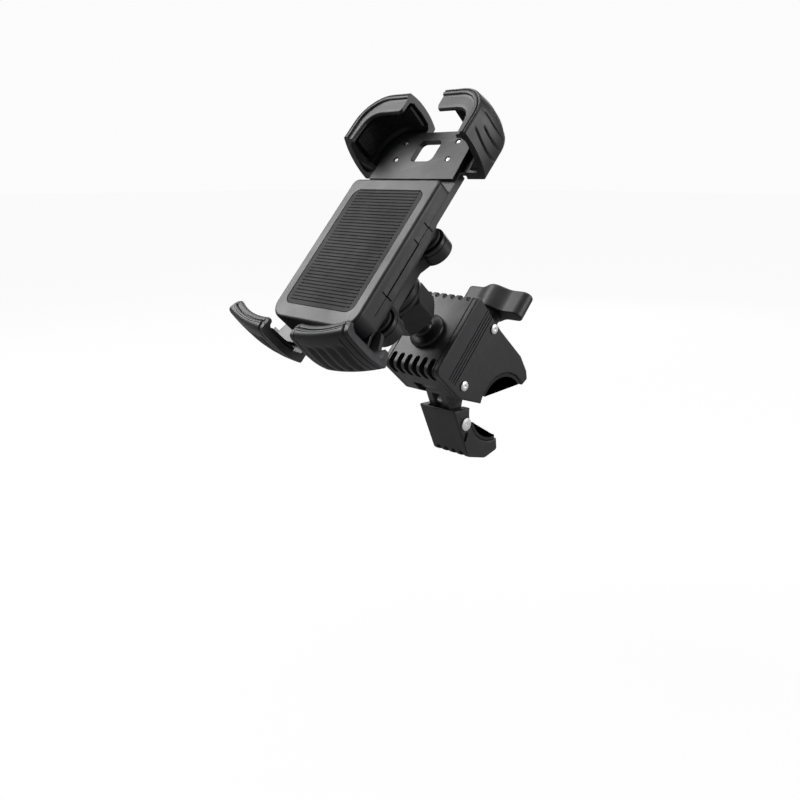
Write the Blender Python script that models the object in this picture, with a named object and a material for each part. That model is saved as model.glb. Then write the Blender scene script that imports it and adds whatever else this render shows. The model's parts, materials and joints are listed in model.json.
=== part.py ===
"""Bicycle phone mount: a handlebar clamp, a ball joint with rubber dampers, and a four-claw cradle.

Sizes are millimetres in the mount's own frame: X runs along the handlebar, Y up the length of
the phone and Z out of the phone's face. MM turns them into Blender's metres, and one empty
tilts the whole frame about the bar's axis to the angle at which the mount is ridden.
"""
import math

import bmesh
import bpy
from mathutils import Matrix, Vector

MM = 0.001
GAP = 0.3

# What the mount holds and what it hangs on
BAR_DIAMETER = 37.0
BAR_PAD = 3.0
PHONE_LENGTH = 147.0
PHONE_WIDTH = 72.0
PHONE_THICKNESS = 8.3
TILT = 47.7

# Clamp
CLAMP_WIDTH = 43.0
PLATE_THICKNESS = 3.5
CLAMP_HEIGHT = 53.0
CLAMP_DEPTH = 43.0
CLAMP_WALL = 3.5
CLAMP_EDGE_RADIUS = 4.0
FRONT_WALL = 4.0
SCREW_RADIUS = 2.5
PIN_RADIUS = 2.0
PIN_HEAD_RADIUS = 2.9
JAW_PIN_HEAD_RADIUS = 3.9
VENT_WIDTH = 3.7
VENT_PITCH = 6.0
VENT_COUNT = 6
JAW_WIDTH = 28.0
JAW_SKIN = 1.3
JAW_VENTS = 4
ROCKER_WIDTH = 16.4
BARREL_RADIUS = 4.6
LOBE_RADIUS = 6.3
BOSS_RADIUS = 4.0
KNOB_SPAN = 48.0
KNOB_NECK = 12.6
KNOB_DEPTH = 16.0
KNOB_HUB = 9.5
KNOB_WING = 4.6

# Ball joint
BALL_RADIUS = 8.0
STUD_LENGTH = 23.5
STEM_RADIUS = 5.0
NECK_RADIUS = 3.9
FLANGE_RADIUS = 11.0
LINER = 1.0
SOCKET_WALL = 1.6
SOCKET_FLANGE_RADIUS = 15.0
SOCKET_FLANGE = 7.0
NUT_FLATS = 26.0
NUT_LENGTH = 16.0
LIP_ANGLE = 62.0

# Damper plate and dampers
PLATE_DEPTH = 9.9
PLATE_WIDTH = 29.0
DAMPER_ACROSS = 36.0
DAMPER_ALONG = 52.0
LOBE_PLATE_RADIUS = 9.0
DAMPER_RADIUS = 7.4
DAMPER_HEIGHT = 6.4
COVER = 2.2
COVER_BOSS = 3.0
COVER_POST = 3.1
COVER_POST_ROOM = 2.6
COVER_FOOT_ROOM = 0.2

# Cradle
CRADLE_WIDTH = 65.0
CRADLE_DEPTH = 12.7
CRADLE_SKIN = 2.2
SIDE_DEPTH = 4.5
JAW_TRAVEL = 28.0
RAIL_INNER = 14.0
RAIL_WIDTH = 6.0
RACK_PITCH = 2.0
RACK_DEPTH = 1.0
BUTTON_LENGTH = 32.0
PAWL_CLEARANCE = 0.4
PAWL_DEPTH = 4.3
PHONE_PAD = 0.9

# Claws
CLAW_LIP_RISE = 4.8
CLAW_LIP_THICKNESS = 2.4
CLAW_WALL = 3.8
CLAW_BULGE = 2.2
CLAW_INNER_END = 13.0
CLAW_CORNER = 19.0
CLAW_LIP = 12.5
CLAW_SIDE_LIP = 7.0
CLAW_LEG = 35.0
LOWER_LIP = 7.0
LOWER_ARC = 100.0
LOWER_ARC_MIDDLE = 8.0
CLAW_PAD = 1.2
UPPER_PLATE = 4.0
LOWER_PLATE = 3.2
PHONE_SHIFT = 16.6

# Fasteners
SMALL_SCREW = 1.4
SMALL_HEAD = 2.8
DAMPER_SCREW = 1.7
DAMPER_HEAD = 3.5

# Places that follow from the sizes
SEAT = BAR_DIAMETER / 2 + BAR_PAD
FRONT = SEAT + CLAMP_DEPTH
TOP = SEAT + 14.5
BOTTOM = TOP - CLAMP_HEIGHT
BACK_TOP = TOP - 3.4
HALF = CLAMP_WIDTH / 2
BODY_HALF = HALF - PLATE_THICKNESS - GAP
SCREW_Z = SEAT + 6.5
PLATE_PIN = (TOP - 6.8, FRONT - 23.1)
ROCKER_PIN = (BOTTOM + 7.6, FRONT - 24.3)
NUT_PIVOT = (ROCKER_PIN[0] + 3.3, SCREW_Z)
JAW_PIN_RADIUS = SEAT + 4.4
JAW_PIN_ANGLE = -56.0
JAW_LEAN = 24.1
BALL_Y = (TOP + BOTTOM) / 2 - 2.2
BALL_Z = FRONT + STUD_LENGTH
SOCKET_BACK = BALL_Z + BALL_RADIUS + LINER
SOCKET_TOP = SOCKET_BACK + SOCKET_FLANGE
PLATE_BACK = SOCKET_TOP + GAP
PLATE_FRONT = PLATE_BACK + PLATE_DEPTH
DAMPER_BACK = PLATE_FRONT + 2 * GAP
COVER_BACK = DAMPER_BACK + DAMPER_HEIGHT + GAP + COVER_BOSS
COVER_FRONT = COVER_BACK + COVER
CRADLE_BACK = COVER_FRONT + GAP
CRADLE_FRONT = CRADLE_BACK + CRADLE_DEPTH
SEAM = CRADLE_BACK + SIDE_DEPTH
CRADLE_HALF = CRADLE_WIDTH / 2
PHONE_TOP = BALL_Y + PHONE_SHIFT + PHONE_LENGTH / 2
PHONE_BOTTOM = PHONE_TOP - PHONE_LENGTH
CRADLE_TOP = PHONE_TOP - 44.4
CRADLE_BOTTOM = PHONE_BOTTOM + 10.6
SLIDER_BOTTOM = CRADLE_TOP - 24.0
BUTTON_TOP = SLIDER_BOTTOM - 10.5
BUTTON_BOTTOM = BUTTON_TOP - BUTTON_LENGTH
PAD_STACK = CLAW_WALL - CLAW_BULGE + 0.6 + 2 * GAP + CLAW_PAD
UPPER_LINE = PHONE_TOP + PAD_STACK
LOWER_LINE = PHONE_BOTTOM - PAD_STACK
SIDE_LINE = PHONE_WIDTH / 2 + 8.5
UPPER_BACK = SEAM - 2.0 - UPPER_PLATE
LOWER_BACK = COVER_BACK - GAP - LOWER_PLATE
CLAW_FRONT = CRADLE_FRONT + PHONE_THICKNESS + CLAW_LIP_RISE


def clear_scene():
    """Remove every object of the open scene."""
    for item in list(bpy.data.objects):
        bpy.data.objects.remove(item, do_unlink=True)


# ---------------------------------------------------------------- outlines and solids

def polar(radius, degrees):
    """Point of the side view at an angle measured from +Z towards +Y, about the bar's axis."""
    turn = math.radians(degrees)
    return (radius * math.sin(turn), radius * math.cos(turn))


def arc(centre, radius, start, end, steps):
    """Points of an arc in a flat view, angles in degrees from the first axis to the second."""
    points = []
    for step in range(steps + 1):
        turn = math.radians(start + (end - start) * step / steps)
        points.append((centre[0] + radius * math.cos(turn), centre[1] + radius * math.sin(turn)))
    return points


def rounded(corners, radii, steps=4):
    """Outline with each corner rounded by its own radius; a radius of 0 leaves it sharp."""
    outline = []
    for index, (corner, radius) in enumerate(zip(corners, radii)):
        corner = Vector(corner)
        if radius <= 0.0:
            outline.append(tuple(corner))
            continue
        before = (Vector(corners[index - 1]) - corner).normalized()
        after = (Vector(corners[(index + 1) % len(corners)]) - corner).normalized()
        half = before.angle(after) / 2
        reach = radius / math.tan(half)
        centre = corner + (before + after).normalized() * radius / math.sin(half)
        start = corner + before * reach - centre
        end = corner + after * reach - centre
        sweep = start.angle_signed(end)
        for step in range(steps + 1):
            turn = -sweep * step / steps
            spoke = Matrix.Rotation(turn, 2) @ start
            outline.append(tuple(centre + spoke))
    return outline


def box_outline(low, high, radius=0.0):
    """Rectangle between two corners, with rounded corners."""
    corners = [low, (high[0], low[1]), high, (low[0], high[1])]
    return rounded(corners, [radius] * 4)


def hull(points):
    """Convex outline round a set of flat points."""
    ordered = sorted(set(points))

    def chain(items):
        line = []
        for p in items:
            while len(line) > 1:
                a, b = line[-2], line[-1]
                if (b[0] - a[0]) * (p[1] - a[1]) - (b[1] - a[1]) * (p[0] - a[0]) > 0:
                    break
                line.pop()
            line.append(p)
        return line[:-1]

    return chain(ordered) + chain(ordered[::-1])


def inset(outline, distance):
    """The same outline, anticlockwise, moved inwards by a distance."""
    moved = []
    for index, here in enumerate(outline):
        here = Vector(here)
        into = (here - Vector(outline[index - 1])).normalized()
        out = (Vector(outline[(index + 1) % len(outline)]) - here).normalized()
        normal = (Vector((-into.y, into.x)) + Vector((-out.y, out.x))).normalized()
        lean = max(0.3, normal.dot(Vector((-into.y, into.x))))
        moved.append(tuple(here + normal * distance / lean))
    return moved


def new_object(bm):
    """Object of a finished bmesh, its faces turned outwards."""
    bmesh.ops.recalc_face_normals(bm, faces=bm.faces)
    mesh = bpy.data.meshes.new("shape")
    bm.to_mesh(mesh)
    bm.free()
    item = bpy.data.objects.new("shape", mesh)
    bpy.context.collection.objects.link(item)
    return item


def loft(rings):
    """Skin through rings of points, with a flat cap on each end."""
    bm = bmesh.new()
    rows = []
    for ring in rings:
        rows.append([bm.verts.new(Vector(point) * MM) for point in ring])
    for low, high in zip(rows, rows[1:]):
        for index in range(len(low)):
            after = (index + 1) % len(low)
            bm.faces.new((low[index], low[after], high[after], high[index]))
    bm.faces.new(rows[0])
    bm.faces.new(rows[-1])
    return new_object(bm)


def lift(axis, point, height):
    """Space point of a flat view's point at a height along the view's axis."""
    if axis == "X":
        return (height, point[0], point[1])
    if axis == "Y":
        return (point[0], height, point[1])
    return (point[0], point[1], height)


def extruded(axis, outline, low, high):
    """Prism of an outline: (y, z) along X, (x, z) along Y or (x, y) along Z."""
    return loft([[lift(axis, point, height) for point in outline] for height in (low, high)])


def chamfered(axis, outline, low, high, edge):
    """Prism whose end at high is chamfered all round; edge is the chamfer's width."""
    shoulder = high - math.copysign(edge, high - low)
    rings = [(outline, low), (outline, shoulder), (inset(outline, edge), high)]
    return loft([[lift(axis, point, height) for point in ring] for ring, height in rings])


def slab(outline, half, edge):
    """Prism along X from -half to half, chamfered round both ends."""
    inner = inset(outline, edge)
    rings = [(inner, -half), (outline, edge - half), (outline, half - edge), (inner, half)]
    return loft([[lift("X", point, height) for point in ring] for ring, height in rings])


def box(low, high):
    """Box between two corners."""
    return extruded("Z", box_outline(low[:2], high[:2]), low[2], high[2])


def turned(axis, centre, profile, steps=24, phase=0.0):
    """Solid of revolution about an axis through centre, from (radius, height) points."""
    bm = bmesh.new()
    rows = []
    for radius, height in profile:
        count = steps if radius > 0.0 else 1
        row = []
        for step in range(count):
            turn = math.tau * (step + phase) / steps
            flat = (centre[0] + radius * math.cos(turn), centre[1] + radius * math.sin(turn))
            row.append(bm.verts.new(Vector(lift(axis, flat, height)) * MM))
        rows.append(row)
    for low, high in zip(rows, rows[1:] + rows[:1]):
        if len(low) == 1 and len(high) == 1:
            continue
        for step in range(steps):
            after = (step + 1) % steps
            ring = [low[step % len(low)], low[after % len(low)],
                    high[after % len(high)], high[step % len(high)]]
            bm.faces.new(list(dict.fromkeys(ring)))
    return new_object(bm)


def cylinder(axis, centre, radius, low, high, steps=24):
    """Plain cylinder along an axis."""
    return turned(axis, centre, [(0.0, low), (radius, low), (radius, high), (0.0, high)], steps)


def drill(axis, centre, radius, low, high, steps=16):
    """Cutter for a round hole, turned part of a step so that its edges miss its neighbours'."""
    profile = [(0.0, low), (radius, low), (radius, high), (0.0, high)]
    return turned(axis, centre, profile, steps, 0.37)


def tube(points, radius, sides=6):
    """Round wire along a path."""
    rings = []
    for index, here in enumerate(points):
        ahead = Vector(points[min(index + 1, len(points) - 1)])
        behind = Vector(points[max(index - 1, 0)])
        along = (ahead - behind).normalized()
        across = along.orthogonal() if index == 0 else (across - along * across.dot(along))
        across.normalize()
        other = along.cross(across)
        ring = []
        for side in range(sides):
            turn = math.tau * side / sides
            ring.append(Vector(here) + (across * math.cos(turn) + other * math.sin(turn)) * radius)
        rings.append(ring)
    return loft(rings)


def combine(target, tools, operation):
    """Join tools to the target, or cut them out of it, and keep the result."""
    for tool in tools:
        modifier = target.modifiers.new("boolean", "BOOLEAN")
        modifier.operation = operation
        modifier.solver = "EXACT"
        modifier.object = tool
    graph = bpy.context.evaluated_depsgraph_get()
    result = bpy.data.meshes.new_from_object(target.evaluated_get(graph))
    target.modifiers.clear()
    target.data = result
    for tool in tools:
        bpy.data.objects.remove(tool, do_unlink=True)
    return target


def cut(target, *tools):
    """Take tools away from the target."""
    return combine(target, tools, "DIFFERENCE")


def join(target, *tools):
    """Add tools to the target; each overlaps it clearly."""
    return combine(target, tools, "UNION")


def mirrored(item):
    """Copy of an object on the other side of the mount's middle plane."""
    mesh = item.data.copy()
    mesh.transform(Matrix.Scale(-1.0, 4, (1.0, 0.0, 0.0)))
    mesh.flip_normals()
    other = bpy.data.objects.new("shape", mesh)
    bpy.context.collection.objects.link(other)
    return other


# ---------------------------------------------------------------- materials, bodies, nodes

FINISHES = {
    "nylon": ((0.030, 0.030, 0.034, 1.0), 0.52, 0.0),
    "rubber": ((0.012, 0.012, 0.013, 1.0), 0.82, 0.0),
    "aluminium": ((0.020, 0.020, 0.022, 1.0), 0.35, 0.8),
    "steel": ((0.62, 0.62, 0.63, 1.0), 0.28, 1.0),
    "acetal": ((0.050, 0.050, 0.053, 1.0), 0.40, 0.0),
}


def make_materials():
    """One Principled material for each finish."""
    made = {}
    for name, (colour, roughness, metallic) in FINISHES.items():
        material = bpy.data.materials.new(name)
        material.use_nodes = True
        shader = material.node_tree.nodes["Principled BSDF"]
        shader.inputs["Base Color"].default_value = colour
        shader.inputs["Roughness"].default_value = roughness
        shader.inputs["Metallic"].default_value = metallic
        made[name] = material
    return made


def jaw_pin():
    """Place of the jaw's pin in the side view."""
    return polar(JAW_PIN_RADIUS, JAW_PIN_ANGLE)


def body_pivots():
    """Joint point of each moving body, in the mount's frame."""
    ball = (0.0, BALL_Y, BALL_Z)
    return {
        "clamp": (0.0, 0.0, 0.0),
        "stud": (0.0, BALL_Y, FRONT),
        "rocker": (0.0, *ROCKER_PIN),
        "nut": (0.0, *NUT_PIVOT),
        "jaw": (0.0, *jaw_pin()),
        "knob": (0.0, BACK_TOP, SCREW_Z),
        "liner": ball,
        "cradle": ball,
        "lock_nut": ball,
        "button_left": (-CRADLE_HALF, (BUTTON_TOP + BUTTON_BOTTOM) / 2, SEAM),
        "button_right": (CRADLE_HALF, (BUTTON_TOP + BUTTON_BOTTOM) / 2, SEAM),
        "upper_jaw": (0.0, SLIDER_BOTTOM, SEAM),
    }


class Mount:
    """Keeps the empties that carry the bodies and adds finished nodes to them."""

    def __init__(self):
        self.materials = make_materials()
        self.pivots = body_pivots()
        self.frame = bpy.data.objects.new("mount_frame", None)
        self.frame.rotation_euler = (math.radians(TILT), 0.0, 0.0)
        bpy.context.collection.objects.link(self.frame)
        self.empties = {}
        for name, pivot in self.pivots.items():
            empty = bpy.data.objects.new("body_" + name, None)
            empty.location = Vector(pivot) * MM
            empty.parent = self.frame
            bpy.context.collection.objects.link(empty)
            self.empties[name] = empty

    def add(self, name, item, body, finish):
        """Name a solid, give it its material and hang it on its body's empty."""
        item.name = name
        item.data.name = name
        item.data.materials.clear()
        item.data.materials.append(self.materials[finish])
        item.data.transform(Matrix.Translation(-Vector(self.pivots[body]) * MM))
        item.data.shade_smooth()
        item.data.set_sharp_from_angle(angle=math.radians(30.0))
        item.parent = self.empties[body]


# ---------------------------------------------------------------- clamp

def clamp_outline():
    """Side view of the clamp: a square front, a sloping back and a hook over the bar."""
    hook_end = 106.0
    throat = -24.0
    corners = [
        (BOTTOM, FRONT),
        (BOTTOM, FRONT - 26.5),
        polar(SEAT + 5.8, throat),
    ]
    corners += [polar(SEAT, throat + (hook_end - throat) * step / 16) for step in range(17)]
    corners += [
        polar(SEAT + 5.6, hook_end),
        polar(SEAT + 8.0, hook_end - 10.0),
        (BACK_TOP, SEAT - 13.5),
        (BACK_TOP, FRONT - 29.5),
        (TOP, FRONT),
    ]
    radii = [CLAMP_EDGE_RADIUS, 2.0, 1.5] + [0.0] * 17 + [1.5, 3.0, 4.0, 6.0, 2.5]
    return rounded(corners, radii)


def pin(place, half_length, head_radius):
    """Cross pin with a low dimpled head at each end."""
    head = 1.0
    dimple = 0.7
    side = [(PIN_RADIUS, half_length), (head_radius, half_length),
            (head_radius, half_length + 0.5), (head_radius - 0.6, half_length + head),
            (dimple, half_length + head), (0.0, half_length + head - 0.4)]
    profile = [(radius, -height) for radius, height in side[::-1]] + side
    return turned("X", place, profile, 16)


def vent_tools(place, radius, count, first):
    """Discs that cut a row of vents into an edge."""
    tools = []
    for index in range(count):
        middle = first + VENT_PITCH * index
        tools.append(cylinder("X", place, radius, middle - VENT_WIDTH / 2,
                              middle + VENT_WIDTH / 2, 16))
    return tools


def side_pocket():
    """Hollow between a side plate and the middle web, going round the two pin bosses."""
    wall = CLAMP_WALL
    corners = [(BOTTOM + wall, FRONT - wall), (BOTTOM + wall, FRONT - 26.5)]
    corners += [polar(SEAT + wall, -14.0 + 96.0 * step / 8) for step in range(9)]
    corners += [(BACK_TOP - wall, FRONT - 29.5), (TOP - wall - 0.5, FRONT - wall)]
    hollow = extruded("X", corners, ROCKER_WIDTH / 2 + 3.2, BODY_HALF + 5.0)
    bosses = [cylinder("X", place, radius, 5.0, BODY_HALF + 9.0, 24)
              for place, radius in ((PLATE_PIN, 4.6), (ROCKER_PIN, 5.0))]
    return cut(hollow, *bosses)


def clamp_body():
    """Moulded body between the side plates, with the rocker's and the stud's pockets."""
    body = extruded("X", clamp_outline(), -BODY_HALF, BODY_HALF)
    inner = ROCKER_WIDTH / 2 + 2 * GAP
    room = ROCKER_PIN[1] + 6.8
    rocker_room = extruded("X", [(BOTTOM - 20.0, room), (BALL_Y - 10.0, room),
                                 (NUT_PIVOT[0] + 10.0, room - 7.0),
                                 (NUT_PIVOT[0] + 10.0, SEAT - 8.0),
                                 (BOTTOM - 20.0, SEAT - 8.0)], -inner, inner)
    stud_room = box((-inner, BALL_Y - 10.5, room - 9.0),
                    (inner, BALL_Y + 9.0, FRONT - FRONT_WALL))
    right = side_pocket()
    left = mirrored(right)
    half_row = VENT_PITCH * (VENT_COUNT - 1) / 2
    lower = vent_tools((BOTTOM + 1.5, FRONT - 1.5), 7.5, VENT_COUNT, -half_row)
    upper = vent_tools((TOP - 0.5, FRONT - 0.5), 4.2, VENT_COUNT, -half_row)
    return cut(
        body, rocker_room, stud_room, right, left,
        drill("Y", (0.0, SCREW_Z), SCREW_RADIUS + 2 * GAP, NUT_PIVOT[0] + 5.0, TOP + 9.0),
        drill("Z", (0.0, BALL_Y), 4.0 + GAP, FRONT - 9.0, FRONT + 5.0),
        drill("X", PLATE_PIN, PIN_RADIUS + GAP, -HALF, HALF, 20),
        drill("X", ROCKER_PIN, PIN_RADIUS + GAP, -HALF, HALF, 20),
        *lower, *upper)


def side_plate():
    """Right side plate, chamfered round its outer face, with four shallow grooves."""
    inner = BODY_HALF + GAP
    plate = chamfered("X", clamp_outline(), inner, HALF, 0.7)
    grooves = []
    for index in range(4):
        height = FRONT - 17.4 + 2.0 * index
        grooves.append(box((HALF - 0.6, BOTTOM + 3.6, height - 0.35),
                           (HALF + 1.0, BACK_TOP + 0.6 + 0.2 * index, height + 0.35)))
    holes = [drill("X", place, PIN_RADIUS + GAP, inner - 1.0, HALF + 1.0, 20)
             for place in (PLATE_PIN, ROCKER_PIN)]
    return cut(plate, *grooves, *holes)


def bar_pad(start, end, half_width):
    """Curved rubber pad between the bar and its seat."""
    steps = 16
    outer = [polar(SEAT - GAP, start + (end - start) * step / steps) for step in range(steps + 1)]
    inner = [polar(SEAT - BAR_PAD, end + (start - end) * step / steps) for step in range(steps + 1)]
    return extruded("X", outer + inner, -half_width, half_width)


def jaw_frame():
    """Directions of the lower jaw's front face: up along it, and outwards from it."""
    lean = math.radians(JAW_LEAN)
    up = Vector((math.sin(lean), math.cos(lean)))
    out = Vector((-math.cos(lean), math.sin(lean)))
    return up, out


def lower_jaw():
    """Swinging jaw under the bar: two ears, a thin front wall and a vented lower edge."""
    up, out = jaw_frame()
    pivot = Vector(jaw_pin())
    reach = BOSS_RADIUS + 0.4
    face = pivot + out * (reach + JAW_SKIN)
    tip = 217.0
    throat = 325.5
    corners = [tuple(face + up * 12.8), tuple(face - up * 20.6),
               polar(SEAT + 10.6, 239.3), polar(SEAT + 7.2, 217.8)]
    corners += [polar(SEAT, tip + (throat - tip) * step / 14) for step in range(15)]
    outline = rounded(corners, [0.8, 4.0, 6.0, 2.0] + [0.0] * 15)
    jaw = slab(outline, JAW_WIDTH / 2, 0.7)
    slot_half = ROCKER_WIDTH / 2 + GAP
    far = 26.0
    slot = extruded("X", [tuple(pivot + out * reach), tuple(pivot + out * reach + up * far),
                          tuple(pivot - out * far + up * far), tuple(pivot - out * far)],
                    -slot_half, slot_half)
    eye = drill("X", tuple(pivot), reach, -slot_half + 0.001, slot_half - 0.001, 28)
    vents = vent_tools(tuple(face - up * 21.5 - out * 1.0), 4.6, JAW_VENTS,
                       -VENT_PITCH * (JAW_VENTS - 1) / 2)
    hole = drill("X", tuple(pivot), PIN_RADIUS + GAP, -HALF, HALF, 20)
    return cut(jaw, slot, eye, hole, *vents)


def rocker():
    """Lever between the jaw's pin and the barrel nut, turning on the clamp's lower pin."""
    half = ROCKER_WIDTH / 2
    jaw_end = jaw_pin()
    spots = arc(ROCKER_PIN, 3.0, 0.0, 330.0, 11)
    spots += arc(NUT_PIVOT, LOBE_RADIUS, 0.0, 340.0, 17)
    spots += arc(jaw_end, 3.0, 0.0, 330.0, 11)
    web = extruded("X", hull(spots), -half + 0.4, half - 0.4)
    lever = join(web, cylinder("X", ROCKER_PIN, 5.5, -half, half, 20),
                 cylinder("X", jaw_end, BOSS_RADIUS, -half, half, 20))
    fork = box((-SCREW_RADIUS - 0.9, BOTTOM - 20.0, SEAT - 3.5),
               (SCREW_RADIUS + 0.9, TOP, ROCKER_PIN[1] - 5.7))
    holes = [drill("X", ROCKER_PIN, PIN_RADIUS + GAP, -HALF, HALF, 20),
             drill("X", jaw_end, PIN_RADIUS + GAP, -HALF, HALF, 20),
             drill("X", NUT_PIVOT, BARREL_RADIUS + GAP, -HALF, HALF, 24)]
    bar_room = drill("X", (0.0, 0.0), SEAT + 0.7, -HALF, HALF, 48)
    return cut(lever, fork, bar_room, *holes)


def barrel_nut():
    """Cross-drilled barrel that the clamp screw pulls on."""
    half = ROCKER_WIDTH / 2 - 0.5
    barrel = cylinder("X", NUT_PIVOT, BARREL_RADIUS, -half, half, 24)
    bore = drill("Y", (0.0, SCREW_Z), SCREW_RADIUS + 0.7, NUT_PIVOT[0] - 9.0,
                    NUT_PIVOT[0] + 9.0, 24)
    return cut(barrel, bore)


def knob_outline():
    """View along the screw: a round hub that narrows into two wings with round ends."""
    flare = 13.0
    tip = KNOB_SPAN / 2 - KNOB_WING
    steps = 12
    side = []
    for step in range(steps + 1):
        across = flare - 2 * flare * step / steps
        swell = (KNOB_HUB - KNOB_WING) * (1 + math.cos(math.pi * across / flare)) / 2
        side.append((across, KNOB_WING + swell))
    right = arc((tip, 0.0), KNOB_WING, -90.0, 90.0, 6)
    left = arc((-tip, 0.0), KNOB_WING, 90.0, 270.0, 6)
    under = [(-across, -height) for across, height in side]
    outline = right + side + left + under
    return [(across, height + SCREW_Z) for across, height in outline]


def wing_knob():
    """Two-wing knob with a neck below and a pocket for the screw's head on top."""
    low = BACK_TOP + 1.8
    shoulder = low + KNOB_NECK
    high = shoulder + KNOB_DEPTH
    centre = (0.0, SCREW_Z)
    wings = chamfered("Y", knob_outline(), shoulder, high, 1.2)
    neck = turned("Y", centre, [(0.0, low), (7.0, low), (7.5, low + 0.5), (7.5, shoulder + 2.0),
                                (0.0, shoulder + 2.0)])
    knob = join(wings, neck)
    return cut(knob, drill("Y", centre, SCREW_RADIUS + GAP, low - 1.0, high + 1.0),
               drill("Y", centre, 5.0, high - 6.0, high + 1.0))


def clamp_screw():
    """Long screw: a hexagon head in the knob, and the shank through the barrel nut."""
    centre = (0.0, SCREW_Z)
    seat = BACK_TOP + 1.8 + KNOB_NECK + KNOB_DEPTH - 6.0 + GAP
    end = NUT_PIVOT[0] - 11.0
    head = extruded("Y", arc(centre, 4.5, 0.0, 300.0, 5), seat, seat + 3.5)
    shank = turned("Y", centre, [(0.0, end), (SCREW_RADIUS - 0.6, end),
                                 (SCREW_RADIUS, end + 0.8), (SCREW_RADIUS, seat + 1.0),
                                 (0.0, seat + 1.0)], 24)
    return join(head, shank)


def washer(axis, centre, hole, outer, low, thickness):
    """Flat ring."""
    high = low + thickness
    return turned(axis, centre, [(hole, low), (outer, low), (outer, high), (hole, high)])


def build_clamp(mount):
    """Everything that stays on the handlebar, and the parts that close it."""
    mount.add("clamp_body", clamp_body(), "clamp", "nylon")
    right = side_plate()
    mount.add("side_plate_left", mirrored(right), "clamp", "nylon")
    mount.add("side_plate_right", right, "clamp", "nylon")
    mount.add("upper_bar_pad", bar_pad(-10.0, 98.0, HALF - 0.8), "clamp", "rubber")
    mount.add("plate_pin", pin(PLATE_PIN, HALF + GAP, PIN_HEAD_RADIUS), "clamp", "steel")
    mount.add("rocker_pin", pin(ROCKER_PIN, HALF + GAP, PIN_HEAD_RADIUS), "clamp", "steel")
    mount.add("knob_washer", washer("Y", (0.0, SCREW_Z), SCREW_RADIUS + GAP, 6.5,
                                    BACK_TOP + GAP, 1.2), "clamp", "steel")
    mount.add("rocker", rocker(), "rocker", "aluminium")
    mount.add("jaw_pin", pin(jaw_pin(), JAW_WIDTH / 2 + GAP, JAW_PIN_HEAD_RADIUS), "rocker",
              "steel")
    mount.add("barrel_nut", barrel_nut(), "nut", "steel")
    mount.add("lower_jaw", lower_jaw(), "jaw", "nylon")
    mount.add("lower_bar_pad", bar_pad(221.0, 296.0, JAW_WIDTH / 2 - 0.5), "jaw", "rubber")
    mount.add("wing_knob", wing_knob(), "knob", "nylon")
    mount.add("clamp_screw", clamp_screw(), "knob", "steel")


# ---------------------------------------------------------------- ball joint

def sphere_profile(radius, start, end, steps):
    """(radius, height) points of a ball's section, angles in degrees from its underside."""
    points = []
    for step in range(steps + 1):
        turn = math.radians(start + (end - start) * step / steps)
        points.append((radius * math.sin(turn), BALL_Z - radius * math.cos(turn)))
    return points


def ball_stud():
    """Flange, stem and ball in one turned piece, drilled from below for its screw."""
    low = FRONT + GAP
    shank_end = FRONT - FRONT_WALL - 0.1
    neck_angle = math.degrees(math.asin(NECK_RADIUS / BALL_RADIUS))
    profile = [(2.2, shank_end), (4.0, shank_end), (4.0, low), (FLANGE_RADIUS, low),
               (FLANGE_RADIUS, low + 2.0), (FLANGE_RADIUS - 1.6, low + 3.4),
               (STEM_RADIUS + 1.2, low + 4.2), (STEM_RADIUS, low + 5.4),
               (STEM_RADIUS, BALL_Z - 12.0), (NECK_RADIUS, BALL_Z - 9.5)]
    profile += sphere_profile(BALL_RADIUS, neck_angle, 168.0, 8)
    profile += [(0.0, profile[-1][1]), (0.0, low + 8.0), (2.2, low + 8.0)]
    return turned("Z", (0.0, BALL_Y), profile)


def stud_screw():
    """Screw that holds the ball stud from inside the clamp."""
    head = FRONT - FRONT_WALL - 0.4 - 1.2 - GAP
    return turned("Z", (0.0, BALL_Y), [(0.0, head - 3.0), (3.6, head - 3.0), (3.6, head),
                                       (1.9, head), (1.9, FRONT + 7.0), (0.0, FRONT + 7.0)], 20)


def ball_liner():
    """Thin split shell between the ball and its socket."""
    inner = sphere_profile(BALL_RADIUS + GAP, LIP_ANGLE, 180.0 - LIP_ANGLE, 4)
    outer = sphere_profile(BALL_RADIUS + GAP + LINER, 180.0 - LIP_ANGLE, LIP_ANGLE, 4)
    return turned("Z", (0.0, BALL_Y), inner + outer)


def ball_socket():
    """Cup round the liner, with a flange that the damper plate is screwed to."""
    hollow = BALL_RADIUS + LINER + 2 * GAP
    outer = hollow + SOCKET_WALL
    cup = sphere_profile(hollow, 180.0, LIP_ANGLE, 8)
    lip = cup[-1][1]
    wide = SOCKET_FLANGE_RADIUS
    profile = cup + [(outer, lip + 0.2), (outer, SOCKET_BACK), (wide - 1.0, SOCKET_BACK),
                     (wide, SOCKET_BACK + 1.0), (wide, SOCKET_TOP), (0.0, SOCKET_TOP)]
    profile[0] = (0.0, profile[0][1])
    socket = turned("Z", (0.0, BALL_Y), profile)
    return cut(socket, *[drill("Z", (place, BALL_Y), SMALL_SCREW + GAP, SOCKET_TOP - 5.5,
                                  SOCKET_TOP + 3.0, 16) for place in socket_screw_places()])


def socket_screw_places():
    """X of the two screws through the damper plate into the socket's flange."""
    return (-12.2, 12.2)


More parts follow.
